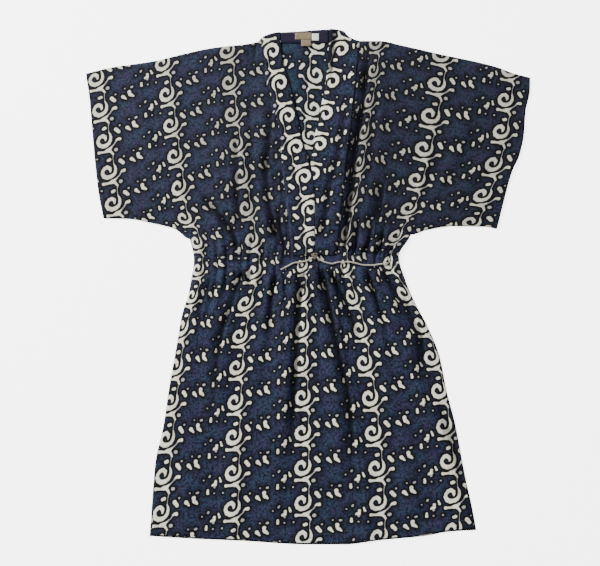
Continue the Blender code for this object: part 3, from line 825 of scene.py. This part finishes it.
def stroke_group():
    """A node group: how far a place is outside one brush stroke of the repeating print."""
    group = bpy.data.node_groups.new("stroke", "ShaderNodeTree")
    for name, kind in (
        ("Place", "NodeSocketVector"), ("Middle", "NodeSocketVector"), ("Half", "NodeSocketVector"),
        ("Reach", "NodeSocketVector"), ("Radius", "NodeSocketFloat"), ("Taper", "NodeSocketFloat"),
    ):
        group.interface.new_socket(name=name, in_out="INPUT", socket_type=kind)
    group.interface.new_socket(name="Distance", in_out="OUTPUT", socket_type="NodeSocketFloat")
    graph = Graph(group)
    given = group.nodes.new("NodeGroupInput").outputs
    cell = (REPEAT.x / 2, REPEAT.y / 2, 1.0)
    offset = graph.vector("SUBTRACT", given["Place"], given["Middle"])
    offset = graph.vector("WRAP", offset, cell, tuple(-side for side in cell))
    share = graph.vector("DOT_PRODUCT", offset, given["Reach"])
    share = graph.add("ShaderNodeClamp", share, -1.0, 1.0)
    nearest = graph.add("ShaderNodeVectorMath", given["Half"], None, None, share, operation="SCALE")
    distance = graph.vector("LENGTH", graph.vector("SUBTRACT", offset, nearest))
    brush = graph.math("MULTIPLY_ADD", share, given["Taper"], given["Radius"])
    distance = graph.math("SUBTRACT", distance, brush)
    end = group.nodes.new("NodeGroupOutput")
    group.links.new(distance, end.inputs[0])
    return group


def print_group():
    """A node group: how far a place on the cloth is outside the scrolls, and the faint strokes."""
    stroke = stroke_group()
    group = bpy.data.node_groups.new("scroll_print", "ShaderNodeTree")
    group.interface.new_socket(name="Place", in_out="INPUT", socket_type="NodeSocketVector")
    for name in ("Scrolls", "Dots"):
        group.interface.new_socket(name=name, in_out="OUTPUT", socket_type="NodeSocketFloat")
    graph = Graph(group)
    given = group.nodes.new("NodeGroupInput").outputs[0]
    end = group.nodes.new("NodeGroupOutput")
    for number, strokes in enumerate((SCROLL + NOTCHES, FAINT_STROKES)):
        nearest = None
        for s in strokes:
            middle = ((s.x0 + s.x1) / 2, (s.y0 + s.y1) / 2, 0.0)
            half = ((s.x1 - s.x0) / 2, (s.y1 - s.y0) / 2, 0.0)
            squared = half[0] ** 2 + half[1] ** 2
            reach = (half[0] / squared, half[1] / squared, 0.0)
            node = group.nodes.new("ShaderNodeGroup")
            node.node_tree = stroke
            group.links.new(given, node.inputs["Place"])
            node.inputs["Middle"].default_value = middle
            node.inputs["Half"].default_value = half
            node.inputs["Reach"].default_value = reach
            node.inputs["Radius"].default_value = (s.r0 + s.r1) / 2
            node.inputs["Taper"].default_value = (s.r1 - s.r0) / 2
            found = node.outputs[0]
            if nearest is None:
                nearest = found
            elif s in NOTCHES:
                nearest = graph.math("MAXIMUM", nearest, graph.math("MULTIPLY", found, -1.0))
            else:
                nearest = graph.math("MINIMUM", nearest, found)
        group.links.new(nearest, end.inputs[number])
    return group


def new_material(name, roughness, sheen):
    material = bpy.data.materials.new(name)
    material.use_nodes = True
    shader = material.node_tree.nodes["Principled BSDF"]
    shader.inputs["Roughness"].default_value = roughness
    shader.inputs["Sheen Weight"].default_value = sheen
    shader.inputs["Sheen Roughness"].default_value = 0.5
    shader.inputs["Specular IOR Level"].default_value = 0.10
    return material, shader, Graph(material.node_tree)


def weave_bump(graph, shader, place, pitch, strength, slubs):
    """A plain weave of that pitch, in millimetres, with thicker threads here and there."""
    across, up, _ = graph.split(place)
    turn = 2.0 * math.pi / pitch
    warp = graph.math("SINE", graph.math("MULTIPLY", across, turn))
    weft = graph.math("SINE", graph.math("MULTIPLY", up, turn))
    weave = graph.math("MULTIPLY", warp, weft)
    height = graph.math("MULTIPLY_ADD", slubs, 1.4, weave)
    bump = graph.tree.nodes.new("ShaderNodeBump")
    bump.inputs["Strength"].default_value = strength
    bump.inputs["Distance"].default_value = 0.25 * MM
    graph.tree.links.new(height, bump.inputs["Height"])
    graph.tree.links.new(bump.outputs[0], shader.inputs["Normal"])
    return weave


def set_colour(graph, shader, colour, value):
    """The shader's colour, made lighter or darker by the value."""
    node = graph.tree.nodes.new("ShaderNodeHueSaturation")
    graph.tree.links.new(colour, node.inputs["Color"])
    graph.tree.links.new(value, node.inputs["Value"])
    graph.tree.links.new(node.outputs[0], shader.inputs["Base Color"])


def printed_cotton(name, scroll_print, ground, tint, deep, cream):
    """Printed plain-weave cotton: the print by the cloth's own repeats, the rest by the weave, with
    painted shade in the folds and on the garment's right above the waist.
    """
    material, shader, graph = new_material(name, 0.88, 0.012)
    cloth = graph.add("ShaderNodeUVMap", uv_map="cloth")
    repeat = graph.vector("MULTIPLY", cloth, (REPEAT.x, REPEAT.y, 1.0))
    column, row, _ = graph.split(cloth)
    wander = graph.noise(repeat, 0.22, 1.0, out=1)
    wander = graph.vector("SUBTRACT", wander, (0.5, 0.5, 0.5))
    wander = graph.vector("MULTIPLY", wander, (WOBBLE, WOBBLE, 0.0))
    node = graph.tree.nodes.new("ShaderNodeGroup")
    node.node_tree = scroll_print
    graph.tree.links.new(graph.vector("ADD", repeat, wander), node.inputs[0])
    scrolls, faint = node.outputs

    # The ground, with its grain.
    blotch = graph.noise(repeat, 0.035, 3.0, 0.6)
    speck = graph.noise(repeat, 0.21, 3.0, 0.65)
    fleck = graph.noise(repeat, 0.33, 2.0, 0.6)
    colour = graph.blend(graph.ramp(blotch, 0.36, 0.64), ground, tint)
    colour = graph.blend(graph.ramp(speck, 0.44, 0.60, 0.0, 0.9), colour, deep)
    colour = graph.blend(graph.ramp(fleck, 0.54, 0.70, 0.0, 0.8), colour, FLECK)
    colour = graph.blend(graph.ramp(row, *GROUND_DULLS), colour, DULL_GROUND)

    # The dark outline round the print, and the print in it.
    nearest = graph.math("MINIMUM", scrolls, faint)
    halo = graph.ramp(nearest, OUTLINE, OUTLINE + 9.0, 0.55, 0.0)
    outline = graph.ramp(nearest, OUTLINE - 0.7, OUTLINE + 1.1, 1.0, 0.0)
    for share in (halo, outline):
        colour = graph.blend(share, colour, OUTLINE_INK)
    colour = graph.blend(graph.ramp(faint, -EDGE_SOFT, EDGE_SOFT, 1.0, 0.0), colour, FAINT)
    worn = graph.blend(graph.ramp(blotch, 0.50, 0.72, 0.0, 0.5), cream, STAIN)
    worn = graph.blend(graph.ramp(speck, 0.55, 0.80, 0.0, 0.35), worn, WASHED)
    on_body = graph.ramp(graph.math("ABSOLUTE", column), *SLEEVES_STAY_BRIGHT)
    dull = graph.math("MULTIPLY", graph.ramp(row, *PRINT_DULLS), on_body)
    worn = graph.blend(dull, worn, DULL_PRINT)
    colour = graph.blend(graph.ramp(scrolls, -EDGE_SOFT, EDGE_SOFT, 1.0, 0.0), colour, worn)

    # The stitches of the hems and of the cord's channel.
    along, inward, _ = graph.split(graph.add("ShaderNodeUVMap", uv_map="edge"))
    dash = graph.math("SINE", graph.math("MULTIPLY", along, 2.0 * math.pi * 1000.0 / STITCH_PITCH))
    dash = graph.ramp(dash, -0.7, -0.2)
    near_line = graph.math("ABSOLUTE", graph.math("SUBTRACT", inward, STITCH_LINE))
    stitch = graph.math("MULTIPLY", graph.ramp(near_line, 0.25 * MM, 0.75 * MM, 1.0, 0.0), dash)
    colour = graph.blend(graph.math("MULTIPLY", stitch, STITCH_SHARE), colour, STITCH_INK)

    # The weave, and the shade in the folds and on the side away from the light.
    slubs = graph.noise(graph.vector("MULTIPLY", repeat, (0.25, 2.4, 1.0)), 0.8, 1.0)
    weave = weave_bump(graph, shader, repeat, 0.7, 0.35, slubs)
    thread = graph.math("MULTIPLY_ADD", weave, 0.05, 0.96)
    # Painted shade: the colour darkens by up to FOLD_SHADE at the bottom of deep folds.
    fold = graph.split(graph.add("ShaderNodeUVMap", uv_map="fold"))[0]
    painted_fold_shade = graph.math("MULTIPLY_ADD", fold, -FOLD_SHADE, 1.0)
    # Painted shade on the garment's right above the waist, the side away from the key light.
    painted_far_side_mask = graph.math(
        "MULTIPLY", graph.ramp(column, *FAR_SIDE_COLUMNS), graph.ramp(row, *FAR_SIDE_ROWS)
    )
    painted_side_shade = graph.math("MULTIPLY_ADD", painted_far_side_mask, -FAR_SIDE_SHADE, 1.0)
    shade = graph.math("MULTIPLY", painted_fold_shade, painted_side_shade)
    set_colour(graph, shader, colour, graph.math("MULTIPLY", thread, shade))
    return material


def plain_cloth(name, colour, second, pitch, strength):
    """Plain woven cloth by place on the object, for small pieces with no print."""
    material, shader, graph = new_material(name, 0.9, 0.015)
    place_here = graph.add("ShaderNodeTexCoord", out=3)
    millimetres = graph.vector("MULTIPLY", place_here, (1000.0, 1000.0, 1000.0))
    blotch = graph.noise(millimetres, 0.35, 3.0, 0.6)
    slubs = graph.noise(graph.vector("MULTIPLY", millimetres, (0.3, 2.0, 1.0)), 0.9, 1.0)
    mixed = graph.blend(graph.ramp(blotch, 0.35, 0.68), colour, second)
    weave = weave_bump(graph, shader, millimetres, pitch, strength, slubs)
    set_colour(graph, shader, mixed, graph.math("MULTIPLY_ADD", weave, 0.08, 0.95))
    return material


def stand_for(piece, node):
    """Ties a piece to the model's one body and to the node whose place it takes."""
    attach(piece, "root")
    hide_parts(node)
    return piece


def add_object(name, mesh, *materials):
    mesh.shade_smooth()
    for material in materials:
        mesh.materials.append(material)
    made = bpy.data.objects.new(name, mesh)
    bpy.context.scene.collection.objects.link(made)
    return made


def evenly(points, step):
    """Points a step apart along a smooth curve through the given ones, in metres."""
    travelled = [0.0]
    for before, after in zip(points, points[1:]):
        travelled.append(travelled[-1] + (Vector(after) - Vector(before)).length * MM)
    axes = [smooth_curve(travelled, [p[axis] * MM for p in points]) for axis in range(3)]
    count = math.ceil(travelled[-1] / step)
    return [
        Vector([axis(travelled[-1] * i / count) for axis in axes]) for i in range(count + 1)
    ]


STRANDS = 3
TWIST = 9.0 * MM
STRAND_SIDES = 8


def twisted_cord(name, path, diameter, material):
    """A cord of three strands laid round each other along the path."""
    strand = 0.27 * diameter
    ring = 0.5 * diameter - strand
    mesh = bpy.data.meshes.new(name)
    bm = bmesh.new()
    travelled = 0.0
    loops = [[] for _ in range(STRANDS)]
    for i, middle in enumerate(path):
        before = path[max(i - 1, 0)]
        after = path[min(i + 1, len(path) - 1)]
        along = (after - before).normalized()
        side = along.cross(Vector((0.0, 0.0, 1.0)))
        side = side.normalized() if side.length > 0.1 else Vector((1.0, 0.0, 0.0))
        up = side.cross(along)
        if i:
            travelled += (middle - path[i - 1]).length
        for number in range(STRANDS):
            turn = 2.0 * math.pi * (travelled / TWIST + number / STRANDS)
            centre = middle + ring * (math.cos(turn) * side + math.sin(turn) * up)
            verts = []
            for corner in range(STRAND_SIDES):
                angle = 2.0 * math.pi * corner / STRAND_SIDES
                point = centre + strand * (math.cos(angle) * side + math.sin(angle) * up)
                verts.append(bm.verts.new(point))
            loops[number].append(verts)
    for rings in loops:
        for lower, upper in zip(rings, rings[1:]):
            for corner in range(STRAND_SIDES):
                after = (corner + 1) % STRAND_SIDES
                bm.faces.new((lower[corner], upper[corner], upper[after], lower[after]))
        bm.faces.new(rings[0])
        bm.faces.new(rings[-1][::-1])
    bm.normal_update()
    bm.to_mesh(mesh)
    bm.free()
    return add_object(name, mesh, material)


cord_material = plain_cloth("cord_cotton", (0.52, 0.50, 0.42), (0.34, 0.32, 0.26), 0.55, 0.5)
knot_material = plain_cloth("knot_cotton", (0.25, 0.20, 0.17), (0.11, 0.08, 0.07), 0.55, 0.5)

right_path = evenly(CORD_RIGHT, 1.0 * MM)
left_path = evenly(CORD_LEFT, 1.0 * MM)
cord_right = twisted_cord("cord_end_right", right_path, CORD_DIAMETER, cord_material)
cord_left = twisted_cord("cord_end_left", left_path, CORD_DIAMETER, cord_material)


def knot_path():
    """An overhand knot pulled tight: a trefoil squeezed into the knot's size."""
    points = []
    count = 96
    for i in range(count + 1):
        turn = 2.0 * math.pi * i / count
        x = (math.sin(turn) + 2.0 * math.sin(2.0 * turn)) / 3.0
        y = (math.cos(turn) - 2.0 * math.cos(2.0 * turn)) / 3.0
        z = -math.sin(3.0 * turn)
        points.append(Vector(KNOT) * MM + Vector((5.0 * x, 5.4 * y, 1.1 * z)) * MM)
    return points


knot = twisted_cord("cord_knot_tied", knot_path(), 2.8 * MM, knot_material)
stand_for(cord_right, "drawcord_right")
stand_for(cord_left, "drawcord_left")
stand_for(knot, "cord_knot")


class Sheet:
    """A grid of points over rows and columns, some of them missing, that becomes a thin shell."""

    def __init__(self):
        self.numbers = {}
        self.places = []
        self.across = []
        self.quads = []

    def vertex(self, key, across, place_here):
        if key not in self.numbers:
            self.numbers[key] = len(self.places)
            self.places.append(place_here)
            self.across.append(across)
        return self.numbers[key]

    def fill(self, lower, upper):
        """Fills between two rows of keys of the same length."""
        for i in range(len(lower) - 1):
            corners = [self.numbers[k] for k in (lower[i], lower[i + 1], upper[i + 1], upper[i])]
            self.quads.append(corners)


def shell(name, middle, quads, thickness, prints, edges, materials, shade=None):
    """A closed shell round the middle points, with the print and the hem's places on it."""
    quads = np.array(quads)
    normals = np.zeros_like(middle)
    a, b, c, d = (middle[quads[:, i]] for i in range(4))
    facing = np.cross(c - a, d - b)
    for i in range(4):
        np.add.at(normals, quads[:, i], facing)
    normals /= np.linalg.norm(normals, axis=1)[:, None]
    count = len(middle)
    points = np.vstack([middle + normals * thickness / 2, middle - normals * thickness / 2])
    sides = {}
    for quad in quads.tolist():
        for start, end in zip(quad, quad[1:] + quad[:1]):
            sides[(start, end)] = (end, start) in sides
            if (end, start) in sides:
                sides[(end, start)] = True
    rim = [edge for edge, shared in sides.items() if not shared]
    faces = quads.tolist() + (quads[:, ::-1] + count).tolist()
    faces += [(b, a, a + count, b + count) for a, b in rim]
    mesh = bpy.data.meshes.new(name)
    mesh.from_pydata(points.tolist(), [], faces)
    corner_vertex = np.empty(len(mesh.loops), int)
    mesh.loops.foreach_get("vertex_index", corner_vertex)
    # The fold layer carries the painted shade, 0 to 1, in its first coordinate.
    folds = np.zeros((count, 2))
    if shade is not None:
        folds[:, 0] = shade
    for layer, values in (("cloth", prints), ("edge", edges), ("fold", folds)):
        made = mesh.uv_layers.new(name=layer)
        made.data.foreach_set("uv", values[corner_vertex % count].astype(np.float32).ravel())
    made = add_object(name, mesh, *materials)
    if len(materials) > 1:
        kinds = np.zeros(len(faces), int)
        kinds[len(quads):2 * len(quads)] = 1
        mesh.polygons.foreach_set("material_index", kinds)
    return made


LEVELS = np.concatenate([
    np.linspace(0.0, 1.0, 121), np.linspace(1.0, V_LEVEL, 5)[1:],
    np.linspace(V_LEVEL, 2.0, 11)[1:], np.linspace(2.0, 3.0, 91)[1:],
])
HALF_COLUMNS = 80
SLEEVE_COLUMNS = 42


def hem_places(x, y, across):
    """For each point, how far it is along the nearest hem and in from it."""
    hem = y - (at_points(LINES[0], x) + HEM_INSET)
    left = x - at_points(left_cuff, y)
    right = at_points(right_cuff, y) - x
    inward = np.where(across < -0.3, left, np.where(across > 1.3, right, hem))
    along = np.where((across < -0.3) | (across > 1.3), y, x)
    return np.column_stack([along, inward])


def hem_rise(edges):
    """The step of the folded hem."""
    return HEM_RISE * (1.0 - smooth_step((edges[:, 1] - HEM_DEPTH + 1.5 * MM) / (3.0 * MM)))


def front_sheet():
    """The front's grid: halves that part above the V's foot, and the sleeves beside them."""
    sheet = Sheet()
    foot = across_at("left_cut", V_LEVEL)
    before = None
    for number, level in enumerate(LEVELS):
        cut_left = foot
        cut_right = foot
        if level > V_LEVEL:
            cut_left = across_at("left_cut", level)
            cut_right = across_at("right_cut", level)
        width = place(1.0, level)[0] - place(0.0, level)[0]
        inset = SLIT_INSET if place(0.0, level)[1] < SLIT_TOP else SEAM_INSET
        shares = [i / HALF_COLUMNS for i in range(HALF_COLUMNS + 1)]
        runs = [
            [mix(inset / width, cut_left, share) for share in shares],
            [mix(cut_right, 1.0 - inset / width, share) for share in shares],
        ]
        if level >= 2.0:
            sleeve = [i / SLEEVE_COLUMNS for i in range(SLEEVE_COLUMNS)]
            runs[0] = [share - 1.0 for share in sleeve] + [0.0] + runs[0][1:]
            runs[1] = runs[1][:-1] + [1.0] + [2.0 - share for share in sleeve[::-1]]
        keys = []
        for side, run in enumerate(runs):
            row = []
            for i, across in enumerate(run):
                from_cut = len(run) - 1 - i if side == 0 else i
                shared = from_cut == 0 and level <= V_LEVEL
                key = (number, "cut") if shared else (number, side, from_cut)
                x, y = place(across, level)
                if number == 0:
                    y += HEM_INSET
                sheet.vertex(key, across, (x, y))
                row.append(key)
            keys.append(row)
        if before:
            for side, (lower, upper) in enumerate(zip(before, keys)):
                extra = len(upper) - len(lower)
                if extra:
                    upper = upper[extra:] if side == 0 else upper[:-extra]
                sheet.fill(lower, upper)
        before = keys
    return sheet


scroll_print = print_group()
outside = printed_cotton(
    "printed_cotton_outside", scroll_print,
    (0.026, 0.024, 0.063), (0.020, 0.036, 0.070), (0.006, 0.006, 0.011), CREAM,
)
inside = printed_cotton(
    "printed_cotton_inside", scroll_print,
    (0.020, 0.027, 0.060), (0.017, 0.038, 0.062), (0.009, 0.012, 0.022), (0.60, 0.60, 0.53),
)

front = front_sheet()
xy = np.array(front.places)
x, y = xy.T
across = np.array(front.across)
edges = hem_places(x, y, across)
height = front_height(across, x, y) + hem_rise(edges)
middle = np.column_stack([xy, CLOTH + GAP + CLOTH / 2 + height])
print_places = gathered_print(front_print(xy / MM), across, x, y)
from_casing = np.abs(y - at_points(LINES[1], x)) - CASING
in_body = (across > 0.0) & (across < 1.0) & (np.abs(from_casing) < 3.0 * CASING)
edges[:, 1] = np.where(in_body, STITCH_LINE + from_casing, edges[:, 1])
front_cloth = shell(
    "front_cloth", middle, front.quads, SHELL, print_places, edges, (outside, inside),
    fold_shade(x, y),
)
stand_for(front_cloth, "front_panel")


def back_sheet():
    """The back's grid, with the sleeves at both ends of the upper rows."""
    sheet = Sheet()
    before = None
    columns = 100
    sleeve_columns = 34
    for number, level in enumerate(LEVELS[::2]):
        run = [i / columns for i in range(columns + 1)]
        if level >= 2.0:
            sleeve = [i / sleeve_columns for i in range(sleeve_columns)]
            run = [share - 1.0 for share in sleeve] + run + [2.0 - share for share in sleeve[::-1]]
        keys = []
        for i, across in enumerate(run):
            from_left = i if level < 2.0 else i - sleeve_columns
            key = (number, from_left)
            sheet.vertex(key, across, place(across, level))
            keys.append(key)
        if before:
            extra = (len(keys) - len(before)) // 2
            sheet.fill(before, keys[extra:len(keys) - extra] if extra else keys)
        before = keys
    return sheet


back = back_sheet()
xy = np.array(back.places)
x, y = xy.T
edges = hem_places(x, y, np.array(back.across))
ripple = 0.30 * MM * (0.5 + 0.5 * waviness(x, y, 0.05, 9.0))
middle = np.column_stack([xy, 0.40 * MM + ripple])
# Painted shade along the back's top edge between the bands, where the edge rolls under; it goes in
# the fold layer and darkens the colour.
from_top = at_points(LINES[3], x) - y
in_neck = (x > -54.0 * MM) & (x < 44.0 * MM)
neck_edge_painted_shade = np.where(in_neck, 1.0 - smooth_step(from_top / (3.0 * MM)), 0.0)
back_cloth = shell(
    "back_cloth", middle, back.quads, SHELL, back_print(xy / MM), edges, (inside, outside), neck_edge_painted_shade
)
stand_for(back_cloth, "back_panel")

BAND_COLUMNS = 12
BAND_TURN = 1.3 * MM
BAND_WIDTH = 48.0 * MM
BAND_STITCH = 3.0 * MM


def band_cloth(name, outer, cut, print_map, lap, node):
    """A band on the front, turned under at both of its long edges."""
    sheet = Sheet()
    rows = [level for level in LEVELS if level >= V_LEVEL - 1e-9]
    before = None
    insets = []
    laps = []
    for number, level in enumerate(rows):
        first = across_at(outer, level)
        last = across_at(cut, level)
        keys = []
        for i in range(BAND_COLUMNS + 1):
            across = mix(first, last, i / BAND_COLUMNS)
            x, y = place(across, level)
            rise = 0.0
            if lap:
                share = float(smooth_step((i / BAND_COLUMNS - 0.72) / 0.28))
                x = mix(x, neck_lines["left_tip"](y), share * float(i / BAND_COLUMNS))
                rise = (CLOTH + GAP) * share * float(smooth_step((LAP_TOP - y) / LAP_RISE))
            sheet.vertex((number, i), across, (x, y))
            keys.append((number, i))
            insets.append(min(i, BAND_COLUMNS - i))
            laps.append(rise)
        if before:
            if first < last:
                sheet.fill(before, keys)
            else:
                sheet.fill(before[::-1], keys[::-1])
        before = keys
    xy = np.array(sheet.places)
    x, y = xy.T
    inset = np.array(insets) / BAND_COLUMNS * BAND_WIDTH
    edges = np.column_stack([y, STITCH_LINE + inset - BAND_STITCH])
    height = front_height(np.array(sheet.across), x, y)
    turned = np.where(np.array(insets) == 0, BAND_TURN, 0.0)
    puff = 0.35 * MM * (0.5 + waviness(x, y, 0.02, 3.0))
    up = 2.0 * (CLOTH + GAP) + BAND_SHELL / 2 + height + np.array(laps) + puff - turned
    middle = np.column_stack([xy, up])
    made = shell(
        name, middle, sheet.quads, BAND_SHELL, print_map(xy / MM), edges, (outside,),
        fold_shade(x, y),
    )
    return stand_for(made, node)


band_left = band_cloth(
    "band_left_cloth", "left_outer", "left_cut", left_band_print, True, "neck_band_left"
)
band_right = band_cloth(
    "band_right_cloth", "right_outer", "right_cut", right_band_print, False, "neck_band_right"
)

facing_cotton = plain_cloth(
    "facing_cotton", (0.011, 0.010, 0.024), (0.018, 0.014, 0.034), 0.7, 0.35
)
label_tan = plain_cloth("label_weave", (0.25, 0.20, 0.13), (0.18, 0.14, 0.09), 0.45, 0.6)
tab_white = plain_cloth("tab_weave", (0.80, 0.80, 0.78), (0.66, 0.66, 0.65), 0.45, 0.4)


def flat_piece(name, x0, y0, x1, y1, floor, thickness, material, node, top=None, dome=0.0):
    """A small flat piece, a little domed, between corners in metres or up to a curved top."""
    columns = max(6, int((x1 - x0) / (1.6 * MM)))
    rows = max(6, int((y1 - y0) / (1.6 * MM)))
    sheet = Sheet()
    for j in range(rows + 1):
        for i in range(columns + 1):
            x = mix(x0, x1, i / columns)
            ceiling = y1 if top is None else top(x)
            y = mix(y0, ceiling, j / rows)
            sheet.vertex((j, i), 0.5, (x, y))
        if j:
            sheet.fill(*([(k, i) for i in range(columns + 1)] for k in (j - 1, j)))
    xy = np.array(sheet.places)
    i = np.arange(len(xy)) % (columns + 1)
    j = np.arange(len(xy)) // (columns + 1)
    bulge = np.sin(math.pi * i / columns) * np.sin(math.pi * j / rows)
    rough = 0.12 * MM * waviness(*xy.T, 0.006, 2.0)
    up = floor + thickness / 2 + dome * bulge + np.maximum(rough, -0.1 * MM)
    middle = np.column_stack([xy, up])
    blank = np.zeros((len(xy), 2))
    made = shell(name, middle, sheet.quads, thickness, blank, blank, (material,))
    return stand_for(made, node)


facing = flat_piece(
    "facing_cloth", -51.0 * MM, 445.0 * MM, 38.5 * MM, 0.0, CLOTH + GAP, 0.9 * MM, facing_cotton,
    "back_neck_facing", top=lambda x: LINES[3](x) - NECK_ROLL, dome=0.2 * MM,
)
label_floor = 2.0 * (CLOTH + GAP)
label = flat_piece(
    "label_cloth", -24.5 * MM, 451.4 * MM, 7.0 * MM, 465.5 * MM, label_floor, 0.6 * MM, label_tan,
    "neck_label", dome=0.3 * MM,
)
lobe = flat_piece(
    "label_lobe_cloth", -13.0 * MM, 438.0 * MM, 6.0 * MM, 451.0 * MM, label_floor, 0.6 * MM,
    label_tan, "label_tab", dome=0.25 * MM,
)
tab = flat_piece(
    "size_tab_cloth", 7.6 * MM, 449.5 * MM, 21.0 * MM, 463.5 * MM, label_floor, 0.5 * MM,
    tab_white, "size_tab", dome=0.2 * MM,
)


def make_floor():
    mesh = bpy.data.meshes.new("floor")
    side = 40.0
    corners = [(-side, -side, 0.0), (side, -side, 0.0), (side, side, 0.0), (-side, side, 0.0)]
    mesh.from_pydata(corners, [], [(0, 1, 2, 3)])
    material = bpy.data.materials.new("floor_white")
    material.use_nodes = True
    shader = material.node_tree.nodes["Principled BSDF"]
    shader.inputs["Base Color"].default_value = (0.93, 0.93, 0.93, 1.0)
    shader.inputs["Roughness"].default_value = 0.9
    shader.inputs["Emission Color"].default_value = (1.0, 1.0, 1.0, 1.0)
    shader.inputs["Emission Strength"].default_value = 4.0
    floor = add_object("floor", mesh, material)
    floor.location.z = -0.2 * MM


def add_light(name, place_here, target, size, power, colour):
    data = bpy.data.lights.new(name, "AREA")
    data.shape = "DISK"
    data.size = size
    data.energy = power
    data.color = colour
    light = bpy.data.objects.new(name, data)
    light.location = place_here
    light.rotation_euler = (Vector(target) - Vector(place_here)).to_track_quat("-Z", "Y").to_euler()
    bpy.context.scene.collection.objects.link(light)


def make_light():
    world = bpy.data.worlds.new("studio")
    world.use_nodes = True
    background = world.node_tree.nodes["Background"]
    background.inputs["Color"].default_value = (1.0, 1.0, 1.0, 1.0)
    background.inputs["Strength"].default_value = 0.45
    bpy.context.scene.world = world
    add_light("key", (-2.9, 2.0, 2.4), (0.0, 0.0, 0.0), 1.4, 450.0, (1.0, 0.985, 0.96))
    add_light("fill", (1.2, -0.8, 2.2), (0.0, 0.0, 0.0), 1.8, 8.0, (0.92, 0.96, 1.0))


make_floor()
make_light()
